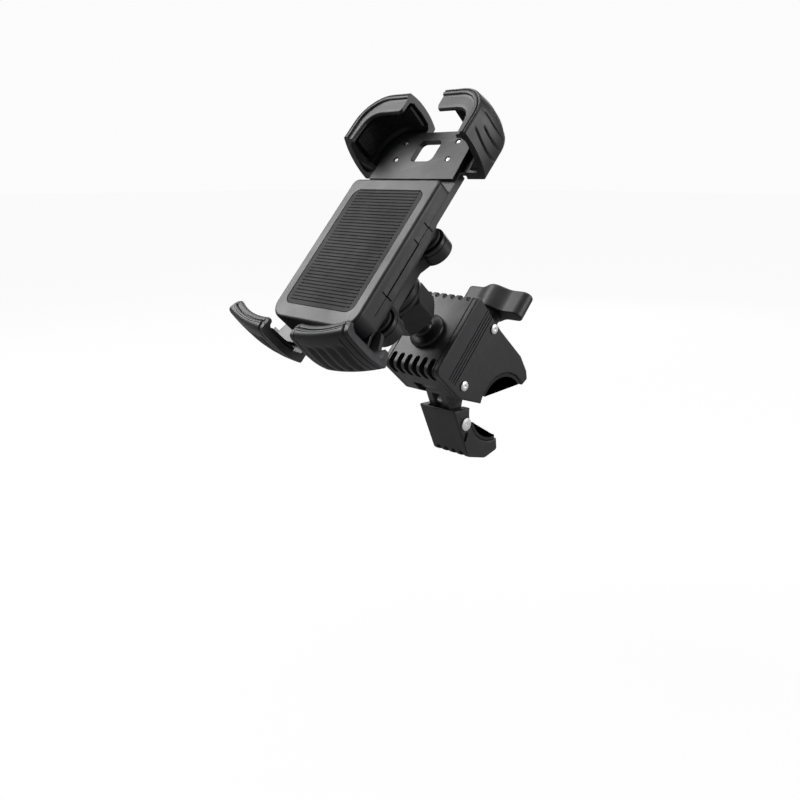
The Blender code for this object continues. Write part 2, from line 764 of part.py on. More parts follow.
def lock_nut():
    """Hexagonal lock nut round the socket, drawn in at its lower end."""
    low = BALL_Z - BALL_RADIUS
    high = low + NUT_LENGTH
    corner = NUT_FLATS / 2 / math.cos(math.pi / 6)
    bore = BALL_RADIUS + LINER + 2 * GAP + SOCKET_WALL + GAP
    mouth = bore - 2.1
    block = extruded("Z", arc((0.0, BALL_Y), corner, 0.0, 300.0, 5), low, high)
    shape = turned("Z", (0.0, BALL_Y), [(0.0, low - 1.0), (corner - 1.6, low - 0.01),
                                        (corner + 1.0, low + 2.6), (corner + 1.0, high - 2.6),
                                        (corner - 1.6, high + 0.01), (0.0, high + 1.0)], 48)
    nut = combine(block, [shape], "INTERSECT")
    lip = BALL_Z - (BALL_RADIUS + LINER + 2 * GAP) * math.cos(math.radians(LIP_ANGLE)) - 2 * GAP
    hollow = turned("Z", (0.0, BALL_Y), [(0.0, low - 3.0), (mouth + 0.6, low - 3.0),
                                         (mouth, lip - 1.0), (bore, lip), (bore, high + 3.0),
                                         (0.0, high + 3.0)], 48)
    return cut(nut, hollow)


def build_ball_joint(mount):
    """The stud on the clamp, and the liner and lock nut that grip its ball."""
    mount.add("ball_stud", ball_stud(), "stud", "aluminium")
    mount.add("stud_washer", washer("Z", (0.0, BALL_Y), 2.3, 8.0,
                                    FRONT - FRONT_WALL - 1.6, 1.2), "stud", "steel")
    mount.add("stud_screw", stud_screw(), "stud", "steel")
    mount.add("ball_liner", ball_liner(), "liner", "acetal")
    mount.add("ball_socket", ball_socket(), "cradle", "aluminium")
    mount.add("lock_nut", lock_nut(), "lock_nut", "nylon")


# ---------------------------------------------------------------- damper plate and dampers

def damper_places():
    """Centres of the four dampers."""
    places = []
    for side in (-1, 1):
        for end in (-1, 1):
            places.append((side * DAMPER_ACROSS / 2, BALL_Y + end * DAMPER_ALONG / 2))
    return places


def damper_plate():
    """Plate on the socket with a lobe under each damper."""
    half = PLATE_WIDTH / 2
    waist = DAMPER_ALONG / 2 - 4.0
    plate = extruded("Z", box_outline((-half, BALL_Y - waist), (half, BALL_Y + waist), 3.0),
                     PLATE_BACK, PLATE_FRONT)
    lobes = [chamfered("Z", arc(place, LOBE_PLATE_RADIUS, 0.0, 345.0, 23), PLATE_BACK + 0.4,
                       PLATE_FRONT + GAP, 0.6) for place in damper_places()]
    bars = [extruded("Z", hull(arc(one, 5.6, 0.0, 337.5, 15) + arc(two, 5.6, 0.0, 337.5, 15)),
                     PLATE_BACK + 0.7, PLATE_FRONT - 0.5)
            for one, two in (damper_places()[0::3], damper_places()[1:3])]
    plate = join(plate, *bars, *lobes)
    tools = []
    for place in damper_places():
        tools.append(drill("Z", place, DAMPER_SCREW + GAP, PLATE_BACK - 1.0,
                              PLATE_FRONT + 2.0, 16))
        tools.append(drill("Z", place, DAMPER_HEAD + GAP, PLATE_BACK - 1.0,
                              PLATE_BACK + 2.6, 20))
    for across in socket_screw_places():
        tools.append(drill("Z", (across, BALL_Y), SMALL_SCREW + GAP, PLATE_BACK - 1.0,
                              PLATE_FRONT + 2.0, 16))
        tools.append(drill("Z", (across, BALL_Y), SMALL_HEAD + GAP, PLATE_FRONT - 2.2,
                              PLATE_FRONT + 2.0, 20))
    return cut(plate, *tools)


def damper(place):
    """Rubber bobbin between the damper plate and the cradle."""
    low = DAMPER_BACK
    tall = DAMPER_HEIGHT
    hole = DAMPER_SCREW + GAP
    full = DAMPER_RADIUS
    waist = full - 1.8
    profile = [(hole, low), (full, low), (full, low + 0.3 * tall), (waist, low + 0.5 * tall),
               (full, low + 0.7 * tall), (full, low + tall), (hole, low + tall)]
    return turned("Z", place, profile, 18)


def screw(place, shank, head, low, seat, end):
    """Screw along Z: a flat head from low to seat, then the shank to its end."""
    profile = [(0.0, low), (head, low), (head, seat), (shank, seat), (shank, end), (0.0, end)]
    return turned("Z", place, profile, 10)


def build_dampers(mount):
    """Plate, rubber bobbins and their screws."""
    mount.add("damper_plate", damper_plate(), "cradle", "nylon")
    for number, across in enumerate(socket_screw_places(), 1):
        fastener = screw((across, BALL_Y), SMALL_SCREW, SMALL_HEAD, PLATE_FRONT - 0.3,
                         PLATE_FRONT - 1.9, SOCKET_TOP - 5.0)
        mount.add(f"socket_screw_{number}", fastener, "cradle", "steel")
    for number, place in enumerate(damper_places(), 1):
        mount.add(f"damper_{number}", damper(place), "cradle", "rubber")
        fastener = screw(place, DAMPER_SCREW, DAMPER_HEAD, PLATE_BACK + 0.7, PLATE_BACK + 2.3,
                         COVER_FRONT - GAP)
        mount.add(f"damper_screw_{number}", fastener, "cradle", "steel")


# ---------------------------------------------------------------- cradle

def lower_claw_screw_places():
    """Screws that hold the right lower claw and the cover to the cradle."""
    level = CRADLE_BOTTOM + 6.8
    return ((14.5, level), (23.5, level))


def cover_screw_places():
    """Screws at the upper end of the back cover."""
    across = RAIL_INNER + RAIL_WIDTH + COVER_POST_ROOM + COVER_POST
    level = SLIDER_BOTTOM - 5.6
    return ((-across, level), (across, level))


def mirror_places(places):
    """The same places on both sides of the middle plane."""
    return [(side * across, level) for side in (-1, 1) for across, level in places]


def claw_inner_level(across):
    """Level of the lower claws' inner side at a place across the mount."""
    lean = math.asin((across - LOWER_ARC_MIDDLE) / LOWER_ARC)
    return LOWER_LINE + LOWER_ARC * (1.0 - math.cos(lean)) + (CLAW_WALL + 0.4) / math.cos(lean)


def cradle_cover():
    """Back cover: carries the dampers' bosses and reaches down behind the lower claws."""
    wide = CRADLE_HALF - 0.6
    foot = SIDE_LINE - 10.5
    low = claw_inner_level(foot) + COVER_FOOT_ROOM
    right = [(foot, low), (foot, low + 5.0), (wide, low + 11.6),
             (wide, SLIDER_BOTTOM - 2.0), (wide - 4.5, CRADLE_TOP - 8.0)]
    left = [(-across, level) for across, level in right[::-1]]
    outline = rounded(right + left, [2.0, 2.0, 2.0, 2.0, 4.0, 4.0, 2.0, 2.0, 2.0, 2.0])
    cover = extruded("Z", outline, COVER_BACK, COVER_FRONT)
    bosses = [chamfered("Z", arc(place, DAMPER_RADIUS + 0.4, 0.0, 342.0, 19), COVER_FRONT - 0.7,
                        COVER_BACK - COVER_BOSS, 0.5) for place in damper_places()]
    cover = join(cover, *bosses)
    tools = [drill("Z", place, DAMPER_SCREW + GAP, COVER_BACK - 9.0, COVER_FRONT + 2.0, 16)
             for place in damper_places()]
    small = mirror_places(lower_claw_screw_places()) + list(cover_screw_places())
    tools += [drill("Z", place, SMALL_SCREW + GAP, COVER_BACK - 2.0, COVER_FRONT + 2.0, 12)
              for place in small]
    return cut(cover, *tools)


def cradle_shell():
    """Front shell: a shallow tray, open at the back, with slots for the buttons and the slider."""
    wall = CRADLE_SKIN
    corners = [(-CRADLE_HALF, CRADLE_BOTTOM), (CRADLE_HALF, CRADLE_BOTTOM),
               (CRADLE_HALF, CRADLE_TOP), (-CRADLE_HALF, CRADLE_TOP)]
    outline = rounded(corners, [10.0, 10.0, 4.0, 4.0], 6)
    shell = chamfered("Z", outline, CRADLE_BACK, CRADLE_FRONT, 1.6)
    hollow = extruded("Z", inset(outline, wall), CRADLE_BACK - 1.0, CRADLE_FRONT - wall)
    shell = cut(shell, hollow)
    hole = SMALL_SCREW + GAP
    top = CRADLE_FRONT - wall + 0.8
    post = [(hole, CRADLE_BACK), (COVER_POST, CRADLE_BACK), (COVER_POST, top), (0.0, top),
            (0.0, SEAM + 2.0), (hole, SEAM + 2.0)]
    posts = [turned("Z", place, post, 12)
             for place in mirror_places(lower_claw_screw_places()) + list(cover_screw_places())]
    rib_level = (BUTTON_TOP + BUTTON_BOTTOM) / 2
    rib = box((-0.8, rib_level - 9.0, CRADLE_BACK + GAP),
              (0.8, rib_level + 9.0, CRADLE_FRONT - wall + 0.8))
    shell = join(shell, rib, *posts)
    outside = CRADLE_HALF + 3.0
    slider_slot = box((-outside, SLIDER_BOTTOM, CRADLE_BACK - 2.0),
                      (outside, CRADLE_TOP + 5.0, SEAM))
    tools = [slider_slot, phone_pad_tool()]
    for side in (-1, 1):
        across = sorted((side * (CRADLE_HALF - 4.0), side * outside))
        tools.append(box((across[0], BUTTON_BOTTOM, CRADLE_BACK - 2.0),
                         (across[1], BUTTON_TOP, SEAM)))
    return cut(shell, *tools)


def phone_pad_outline(margin):
    """Outline of the rubber sheet on the cradle's face, or of its recess."""
    half = CRADLE_HALF - 6.5 + margin
    return box_outline((-half, CRADLE_BOTTOM + 9.0 - margin), (half, CRADLE_TOP - 8.0 + margin),
                       5.0 + margin)


def phone_pad_tool():
    """Recess for the rubber sheet."""
    return extruded("Z", phone_pad_outline(GAP), CRADLE_FRONT - PHONE_PAD, CRADLE_FRONT + 2.0)


def rack_edge(low, high):
    """Toothed inner edge of the right rail, bottom to top."""
    points = []
    count = int((high - low) / RACK_PITCH)
    for tooth in range(count):
        level = low + RACK_PITCH * tooth
        points.append((RAIL_INNER, level))
        points.append((RAIL_INNER + RACK_DEPTH, level + RACK_PITCH * 0.7))
    points.append((RAIL_INNER, low + RACK_PITCH * count))
    return points


def upper_slider():
    """Sliding jaw's carrier: side cheeks in line with the cradle, two toothed rails below,
    and a tongue that the upper claws are screwed to."""
    low = CRADLE_BACK + GAP / 2
    high = SEAM - GAP
    wide = CRADLE_HALF - 0.2
    top = UPPER_LINE - CLAW_LEG - 1.6
    plate = extruded("Z", box_outline((-wide, SLIDER_BOTTOM + GAP), (wide, top), 1.0), low, high)
    tongue = extruded("Z", rounded([(-SIDE_LINE + 13.5, top - 6.0), (SIDE_LINE - 13.5, top - 6.0),
                                    (SIDE_LINE - 15.5, UPPER_LINE - 10.0),
                                    (-SIDE_LINE + 15.5, UPPER_LINE - 10.0)],
                                   [0.0, 0.0, 6.0, 6.0]),
                      UPPER_BACK + UPPER_PLATE + GAP, UPPER_BACK + UPPER_PLATE + GAP + 3.2)
    rail_bottom = SLIDER_BOTTOM - 2 * JAW_TRAVEL
    toothed = rack_edge(rail_bottom + RACK_PITCH, SLIDER_BOTTOM - RACK_PITCH)
    rail_top = SLIDER_BOTTOM + 6.0
    outer = RAIL_INNER + RAIL_WIDTH
    outline = toothed + [(RAIL_INNER, rail_top), (outer, rail_top),
                         (outer, rail_bottom), (RAIL_INNER + 2.0, rail_bottom)]
    rail = extruded("Z", outline, low + 0.2, high - 0.4)
    slider = join(plate, tongue, mirrored(rail), rail)
    tools = [drill("Z", place, SMALL_SCREW + GAP, UPPER_BACK, SEAM + 9.0, 16)
             for place in mirror_places(upper_claw_screw_places())]
    window = extruded("Z", box_outline((-8.0, top + 6.0), (8.0, UPPER_LINE - 16.0), 3.0),
                      UPPER_BACK, SEAM + 9.0)
    return cut(slider, window, *tools)


def side_button():
    """Right release button: a long pad in the cradle's side, an arm over the rail, and a pawl."""
    low = CRADLE_BACK + GAP
    high = SEAM - GAP
    level = (BUTTON_TOP + BUTTON_BOTTOM) / 2
    inside = CRADLE_HALF - CRADLE_SKIN - GAP
    pad = box((inside - 1.0, BUTTON_BOTTOM + GAP, low), (CRADLE_HALF + 0.7, BUTTON_TOP - GAP, high))
    flange = box((inside - 2.0, BUTTON_BOTTOM - 1.2, low + 0.2),
                 (inside, BUTTON_TOP + 1.2, high + 2.4))
    arm = box((RAIL_INNER - 4.5, level - 5.5, SEAM + 0.2), (inside - 1.0, level + 5.5, SEAM + 2.5))
    teeth = []
    count = 5
    tip = RAIL_INNER - PAWL_CLEARANCE
    start = level - RACK_PITCH * count / 2
    for tooth in range(count):
        bottom = start + RACK_PITCH * tooth
        teeth.append((tip - 0.8, bottom))
        teeth.append((tip, bottom + RACK_PITCH * 0.7))
    teeth.append((tip - 0.8, start + RACK_PITCH * count))
    back = tip - PAWL_DEPTH
    pawl = extruded("Z", teeth + [(back, teeth[-1][1]), (back, teeth[0][1])], low + 0.4, SEAM + 1.0)
    return join(pad, flange, arm, pawl)


def button_spring():
    """Right button's return spring, between the cradle's middle rib and the pawl."""
    level = (BUTTON_TOP + BUTTON_BOTTOM) / 2
    start = 1.5
    end = RAIL_INNER - PAWL_CLEARANCE - PAWL_DEPTH - 0.8
    turns = 5
    steps = 6
    points = []
    for step in range(turns * steps + 1):
        turn = math.tau * step / steps
        along = start + (end - start) * step / (turns * steps)
        points.append((along, level + 1.7 * math.cos(turn), SEAM - 2.3 + 1.7 * math.sin(turn)))
    return tube(points, 0.3, 4)


def build_cradle(mount):
    """The cradle's shells, pad, buttons and the screws that close it."""
    mount.add("cradle_cover", cradle_cover(), "cradle", "nylon")
    mount.add("cradle_shell", cradle_shell(), "cradle", "nylon")
    pad = extruded("Z", phone_pad_outline(0.0), CRADLE_FRONT - PHONE_PAD + GAP, CRADLE_FRONT + GAP)
    mount.add("phone_pad", pad, "cradle", "rubber")
    for number, place in enumerate(cover_screw_places(), 1):
        fastener = screw(place, SMALL_SCREW, SMALL_HEAD, COVER_BACK - GAP - 1.6, COVER_BACK - GAP,
                         SEAM + 1.0)
        mount.add(f"cover_screw_{number}", fastener, "cradle", "steel")
    right = side_button()
    spring = button_spring()
    mount.add("side_button_left", mirrored(right), "button_left", "nylon")
    mount.add("side_button_right", right, "button_right", "nylon")
    mount.add("button_spring_left", mirrored(spring), "cradle", "steel")
    mount.add("button_spring_right", spring, "cradle", "steel")


# ---------------------------------------------------------------- claws

def claw_section(back, lip, ledge, plate):
    """Section of a claw as (outward, height) points: a crowned wall with a lip over the phone
    and a ledge of the back plate's thickness."""
    front = CLAW_FRONT
    depth = front - back
    wall = CLAW_WALL
    bulge = CLAW_BULGE
    under = front - 1.0 - CLAW_LIP_THICKNESS
    return [
        (-lip, front - 1.0), (-1.8, front), (0.0, front - 1.4),
        (0.75 * bulge, front - 0.3 * depth), (bulge, front - 0.52 * depth),
        (0.75 * bulge, back + 0.22 * depth), (0.2, back + 1.2), (-1.4, back),
        (-ledge, back), (-ledge, back + plate), (-wall - 0.4, back + plate),
        (bulge - wall - 0.6, back + plate + 2.2), (bulge - wall, front - 0.52 * depth),
        (bulge - wall - 0.6, under - 2.6), (-wall - 0.4, under - 0.2), (-lip, under),
    ]


def pad_section(back):
    """Section of the rubber strip inside a claw."""
    high = CLAW_FRONT - CLAW_LIP_RISE - 2.0
    low = back + 7.0
    outer = CLAW_BULGE - CLAW_WALL - 0.6 - 2 * GAP
    inner = outer - CLAW_PAD
    return [(inner, low), (inner, high), (outer, high), (outer, low)]


def swept(stations, section_of, shear=0.0):
    """Loft of a section along stations of (place, outward normal, share of the way)."""
    rings = []
    last = len(stations) - 1
    for index, (place, normal, share) in enumerate(stations):
        along = Vector((normal.y, -normal.x))
        section = section_of(share)
        front = max(height for _, height in section)
        ring = []
        for outward, height in section:
            spot = place + normal * outward
            if index == last:
                spot = spot + along * (front - height) * shear
            ring.append((spot.x, spot.y, height))
        rings.append(ring)
    return loft(rings)


def upper_path(start, end):
    """Stations of the right upper claw: along the phone's top, round the corner, down the side."""
    corner = Vector((SIDE_LINE - CLAW_CORNER, UPPER_LINE - CLAW_CORNER))
    stations = [(Vector((start, UPPER_LINE)), Vector((0.0, 1.0)), 0.0)]
    steps = 8
    for step in range(steps + 1):
        turn = math.radians(90.0 - 90.0 * step / steps)
        normal = Vector((math.cos(turn), math.sin(turn)))
        stations.append((corner + normal * CLAW_CORNER, normal, 0.3 + 0.5 * step / steps))
    stations.append((Vector((SIDE_LINE, end)), Vector((1.0, 0.0)), 1.0))
    return stations


def upper_claw_screw_places():
    """Screws of the right upper claw."""
    return ((CLAW_INNER_END + 6.0, UPPER_LINE - 17.0), (CLAW_INNER_END + 6.0, UPPER_LINE - 29.0))


def upper_claw():
    """Right upper claw: a hooked corner with a lip over the phone and a plate on the slider."""
    end = UPPER_LINE - CLAW_LEG + 4.4
    back = UPPER_BACK

    def section_of(share):
        lip = CLAW_LIP + (CLAW_SIDE_LIP - CLAW_LIP) * max(0.0, share - 0.3) / 0.7
        return claw_section(back, lip, 12.0, UPPER_PLATE)

    claw = swept(upper_path(CLAW_INNER_END, end), section_of, 0.2)
    floor = extruded("Z", [(CLAW_INNER_END + 0.5, UPPER_LINE - 4.0),
                           (CLAW_INNER_END + 0.5, UPPER_LINE - CLAW_LEG + 0.6),
                           (SIDE_LINE - 4.0, UPPER_LINE - CLAW_LEG + 0.6),
                           (SIDE_LINE - 4.0, UPPER_LINE - CLAW_CORNER),
                           (SIDE_LINE - CLAW_CORNER, UPPER_LINE - 4.0)],
                     back + 0.4, back + UPPER_PLATE - 0.4)
    brace_low = UPPER_LINE - CLAW_LEG + 1.6
    brace = extruded("Y", [(SIDE_LINE - 1.6, back + 12.0), (SIDE_LINE - 1.6, back + 3.0),
                           (SIDE_LINE - 11.0, back + 3.0)], brace_low, brace_low + 2.4)
    claw = join(claw, floor, brace)
    holes = [drill("Z", place, SMALL_SCREW + GAP, back - 2.0, back + 6.0, 12)
             for place in upper_claw_screw_places()]
    return cut(claw, *holes)


def lower_path(start, end):
    """Stations of the right lower claw, on a wide arc that rises towards its outer end."""
    middle = Vector((LOWER_ARC_MIDDLE, LOWER_LINE + LOWER_ARC))
    stations = []
    steps = 8
    for step in range(steps + 1):
        across = start + (end - start) * step / steps
        turn = math.asin((across - middle.x) / LOWER_ARC)
        normal = Vector((math.sin(turn), -math.cos(turn)))
        stations.append((middle + normal * LOWER_ARC, normal, step / steps))
    return stations


def lower_claw():
    """Right lower claw: a scoop under the phone with a curved lip."""
    back = LOWER_BACK
    claw = swept(lower_path(CLAW_INNER_END - 2.0, SIDE_LINE + 2.0),
                 lambda share: claw_section(back, LOWER_LIP, 9.0, LOWER_PLATE))
    floor = extruded("Z", rounded([(CLAW_INNER_END - 1.5, LOWER_LINE + 5.0),
                                   (SIDE_LINE - 4.0, LOWER_LINE + 11.0),
                                   (SIDE_LINE - 10.0, CRADLE_BOTTOM + 10.0),
                                   (CLAW_INNER_END - 1.5, CRADLE_BOTTOM + 10.0)],
                                  [0.0, 2.0, 3.0, 2.0]), back + 0.4, back + LOWER_PLATE - 0.4)
    claw = join(claw, floor)
    holes = [drill("Z", place, SMALL_SCREW + GAP, back - 2.0, back + 6.0, 12)
             for place in lower_claw_screw_places()]
    return cut(claw, *holes)


def build_claws(mount):
    """The sliding upper claws and the fixed lower ones, with pads and screws."""
    mount.add("upper_slider", upper_slider(), "upper_jaw", "nylon")
    sides = {"left": mirrored, "right": lambda item: item}
    upper = upper_claw()
    lower = lower_claw()
    upper_pad = swept(upper_path(CLAW_INNER_END + 2.0, UPPER_LINE - CLAW_LEG + 8.0),
                      lambda share: pad_section(UPPER_BACK))
    lower_pad = swept(lower_path(CLAW_INNER_END, SIDE_LINE),
                      lambda share: pad_section(LOWER_BACK))
    for side, place in sides.items():
        mount.add(f"upper_claw_{side}", place(upper), "upper_jaw", "nylon")
        mount.add(f"lower_claw_{side}", place(lower), "cradle", "nylon")
        mount.add(f"upper_claw_pad_{side}", place(upper_pad), "upper_jaw", "rubber")
        mount.add(f"lower_claw_pad_{side}", place(lower_pad), "cradle", "rubber")
    for number, place in enumerate(mirror_places(upper_claw_screw_places()), 1):
        fastener = screw(place, SMALL_SCREW, SMALL_HEAD, UPPER_BACK - GAP - 1.6, UPPER_BACK - GAP,
                         UPPER_BACK + 7.0)
        mount.add(f"upper_claw_screw_{number}", fastener, "upper_jaw", "steel")
    for number, place in enumerate(mirror_places(lower_claw_screw_places()), 1):
        fastener = screw(place, SMALL_SCREW, SMALL_HEAD, LOWER_BACK - GAP - 1.6, LOWER_BACK - GAP,
                         SEAM + 1.0)
        mount.add(f"lower_claw_screw_{number}", fastener, "cradle", "steel")


def main():
    """Build the whole mount."""
    clear_scene()
    mount = Mount()
    build_clamp(mount)
    build_ball_joint(mount)
    build_dampers(mount)
    build_cradle(mount)
    build_claws(mount)


main()
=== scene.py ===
"""Looks of a bicycle phone mount: moulded shells, ribbed claws, rubber, rivets and their finishes.

Every shape is made in the mount's own frame, in millimetres: X runs along the handlebar, Y up the
length of the phone and Z out of its face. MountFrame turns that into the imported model's metres.
"""
import json
import logging
import math
from dataclasses import dataclass
from enum import Enum
from typing import Callable

import bmesh
import bpy
from mathutils import Matrix, Vector

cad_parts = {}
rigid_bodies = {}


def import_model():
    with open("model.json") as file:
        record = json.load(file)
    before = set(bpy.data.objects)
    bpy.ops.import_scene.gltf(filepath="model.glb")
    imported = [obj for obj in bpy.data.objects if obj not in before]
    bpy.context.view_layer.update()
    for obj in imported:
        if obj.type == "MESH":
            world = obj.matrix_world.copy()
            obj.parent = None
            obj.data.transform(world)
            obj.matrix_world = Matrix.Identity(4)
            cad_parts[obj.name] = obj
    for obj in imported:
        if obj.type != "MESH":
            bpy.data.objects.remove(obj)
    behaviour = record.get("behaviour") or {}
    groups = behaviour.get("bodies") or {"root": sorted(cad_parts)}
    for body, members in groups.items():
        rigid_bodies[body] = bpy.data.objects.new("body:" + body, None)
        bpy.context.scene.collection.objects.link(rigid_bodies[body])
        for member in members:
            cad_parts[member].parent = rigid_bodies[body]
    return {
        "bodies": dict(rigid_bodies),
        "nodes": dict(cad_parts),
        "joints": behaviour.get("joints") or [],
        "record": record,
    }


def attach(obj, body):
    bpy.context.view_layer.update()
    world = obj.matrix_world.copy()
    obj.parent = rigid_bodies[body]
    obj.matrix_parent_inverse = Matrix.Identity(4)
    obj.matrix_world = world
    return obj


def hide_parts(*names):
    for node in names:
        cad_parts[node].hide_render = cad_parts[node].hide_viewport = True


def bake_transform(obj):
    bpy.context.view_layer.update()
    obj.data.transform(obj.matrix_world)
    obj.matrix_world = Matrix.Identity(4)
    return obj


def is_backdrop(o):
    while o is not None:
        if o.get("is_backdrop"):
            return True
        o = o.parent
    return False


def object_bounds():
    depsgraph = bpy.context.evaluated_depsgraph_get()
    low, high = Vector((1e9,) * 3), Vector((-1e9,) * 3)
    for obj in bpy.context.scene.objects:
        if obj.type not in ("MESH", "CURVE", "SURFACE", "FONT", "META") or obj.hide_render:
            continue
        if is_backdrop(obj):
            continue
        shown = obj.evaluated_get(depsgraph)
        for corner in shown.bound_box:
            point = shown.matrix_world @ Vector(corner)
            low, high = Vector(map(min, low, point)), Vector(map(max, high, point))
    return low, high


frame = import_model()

LOG = logging.getLogger("phone_mount")
MM = 0.001
GAP = 0.3
HEXAGON = (0.0, 300.0, 5)
MIX_BELOW, MIX_ABOVE, MIX_COLOUR = 6, 7, 2

Flat = tuple[float, float]
Give = tuple[str, Vector, Vector]
Outline = list[Flat]
Profile = list[Flat]


class Axis(Enum):
    """Direction that a prism or a turned shape runs along, with the two directions across it."""

    X = (1, 2, 0)
    Y = (0, 2, 1)
    Z = (0, 1, 2)

    def lift(self, point: Flat, height: float) -> Vector:
        """Space point of a flat point at a height along the axis."""
        first, second, along = self.value
        spot = [0.0, 0.0, 0.0]
        spot[first] = point[0]
        spot[second] = point[1]
        spot[along] = height
        return Vector(spot)


class Side(Enum):
    """Which half of the mount a piece is on, seen by the rider."""

    LEFT = -1
    RIGHT = 1

    @property
    def word(self) -> str:
        """The side as it stands in a node's name."""
        return self.name.lower()


# ---------------------------------------------------------------- flat outlines

def polar(radius: float, degrees: float) -> Flat:
    """Point of the side view at an angle from +Z towards +Y, about the bar's axis."""
    turn = math.radians(degrees)
    return (radius * math.sin(turn), radius * math.cos(turn))


def arc(centre: Flat, radius: float, start: float, end: float, steps: int) -> Outline:
    """Points of an arc, angles in degrees from the first axis to the second."""
    points = []
    for step in range(steps + 1):
        turn = math.radians(start + (end - start) * step / steps)
        points.append((centre[0] + radius * math.cos(turn), centre[1] + radius * math.sin(turn)))
    return points


def rounded(corners: Outline, radii: list[float], steps: int = 8) -> Outline:
    """Outline with each corner rounded by its own radius.

    Args:
        corners: Corner points, anticlockwise.
        radii: One radius for each corner; 0 leaves it sharp.
        steps: Steps of each round.

    Returns:
        The rounded outline.
    """
    outline = []
    for index, (point, radius) in enumerate(zip(corners, radii)):
        corner = Vector(point)
        if radius <= 0.0:
            outline.append(tuple(corner))
            continue
        before = (Vector(corners[index - 1]) - corner).normalized()
        after = (Vector(corners[(index + 1) % len(corners)]) - corner).normalized()
        half = before.angle(after) / 2
        centre = corner + (before + after).normalized() * radius / math.sin(half)
        start = corner + before * radius / math.tan(half) - centre
        end = corner + after * radius / math.tan(half) - centre
        sweep = start.angle_signed(end)
        for step in range(steps + 1):
            spoke = Matrix.Rotation(-sweep * step / steps, 2) @ start
            outline.append(tuple(centre + spoke))
    return outline


def rectangle(low: Flat, high: Flat, radius: float = 0.0) -> Outline:
    """Rectangle between two corners, with rounded corners."""
    return rounded([low, (high[0], low[1]), high, (low[0], high[1])], [radius] * 4)


def inset(outline: Outline, distance: float) -> Outline:
    """The same outline, anticlockwise, moved inwards by a distance."""
    moved = []
    for index, point in enumerate(outline):
        here = Vector(point)
        into = (here - Vector(outline[index - 1])).normalized()
        out = (Vector(outline[(index + 1) % len(outline)]) - here).normalized()
        left = Vector((-into.y, into.x))
        normal = (left + Vector((-out.y, out.x))).normalized()
        moved.append(tuple(here + normal * distance / max(0.5, normal.dot(left))))
    return moved


def hull(points: Outline) -> Outline:
    """Convex outline round a set of points, anticlockwise."""
    def chain(items: Outline) -> Outline:
        """Lower side of the points, from one end to the other."""
        line: Outline = []
        for p in items:
            while len(line) > 1:
                a, b = line[-2], line[-1]
                if (b[0] - a[0]) * (p[1] - a[1]) - (b[1] - a[1]) * (p[0] - a[0]) > 0:
                    break
                line.pop()
            line.append(p)
        return line[:-1]

    ordered = sorted(set(points))
    return chain(ordered) + chain(ordered[::-1])


def signed_area(outline: Outline) -> float:
    """Area of an outline, positive when it runs anticlockwise."""
    total = 0.0
    for index, (x, y) in enumerate(outline):
        before = outline[index - 1]
        total += before[0] * y - x * before[1]
    return total / 2


def smooth(value: float, low: float, high: float) -> float:
    """Smooth step from 0 below low to 1 above high."""
    share = min(1.0, max(0.0, (value - low) / (high - low)))
    return share * share * (3.0 - 2.0 * share)


# ---------------------------------------------------------------- solids

def linked(mesh: bpy.types.Mesh, name: str = "shape") -> bpy.types.Object:
    """Object of a mesh, in the scene."""
    item = bpy.data.objects.new(name, mesh)
    bpy.context.collection.objects.link(item)
    return item


def shown(bm: bmesh.types.BMesh) -> bpy.types.Object:
    """Object of a bmesh, as it is."""
    mesh = bpy.data.meshes.new("shape")
    bm.to_mesh(mesh)
    bm.free()
    return linked(mesh)


def new_object(bm: bmesh.types.BMesh) -> bpy.types.Object:
    """Object of a closed bmesh, its faces turned outwards."""
    bmesh.ops.recalc_face_normals(bm, faces=bm.faces)
    return shown(bm)


def skin(rings: list[list[Vector]]) -> bpy.types.Object:
    """Closed skin through rings of points, with a flat cap on each end."""
    bm = bmesh.new()
    rows = [[bm.verts.new(point) for point in ring] for ring in rings]
    for low, high in zip(rows, rows[1:]):
        for index in range(len(low)):
            after = (index + 1) % len(low)
            bm.faces.new((low[index], low[after], high[after], high[index]))
    bm.faces.new(rows[0])
    bm.faces.new(rows[-1])
    return new_object(bm)


def prism(axis: Axis, outline: Outline, low: float, high: float, low_edge: float = 0.0,
          high_edge: float = 0.0, steps: int = 3) -> bpy.types.Object:
    """Prism of an outline, with its two rims rounded.

    Args:
        axis: Direction of the prism.
        outline: Outline across it.
        low: Where it starts.
        high: Where it ends.
        low_edge: Radius of the rim at low.
        high_edge: Radius of the rim at high.
        steps: Steps of each round.

    Returns:
        The prism.
    """
    if signed_area(outline) < 0.0:
        outline = outline[::-1]
    rims = []
    if low_edge > 0.0:
        for step in range(steps):
            turn = math.pi / 2 * step / steps
            rims.append((low_edge * (1.0 - math.sin(turn)),
                         low + low_edge * (1.0 - math.cos(turn))))
    rims.append((0.0, low + low_edge))
    rims.append((0.0, high - high_edge))
    if high_edge > 0.0:
        for step in range(1, steps + 1):
            turn = math.pi / 2 * step / steps
            rims.append((high_edge * (1.0 - math.cos(turn)),
                         high - high_edge * (1.0 - math.sin(turn))))
    rings = []
    for distance, height in rims:
        ring = inset(outline, distance) if distance > 0.0 else outline
        rings.append([axis.lift(point, height) for point in ring])
    return skin(rings)


def block(low: tuple[float, float, float], high: tuple[float, float, float],
          radius: float = 0.0) -> bpy.types.Object:
    """Box between two corners, its upright corners rounded."""
    return prism(Axis.Z, rectangle(low[:2], high[:2], radius), low[2], high[2])


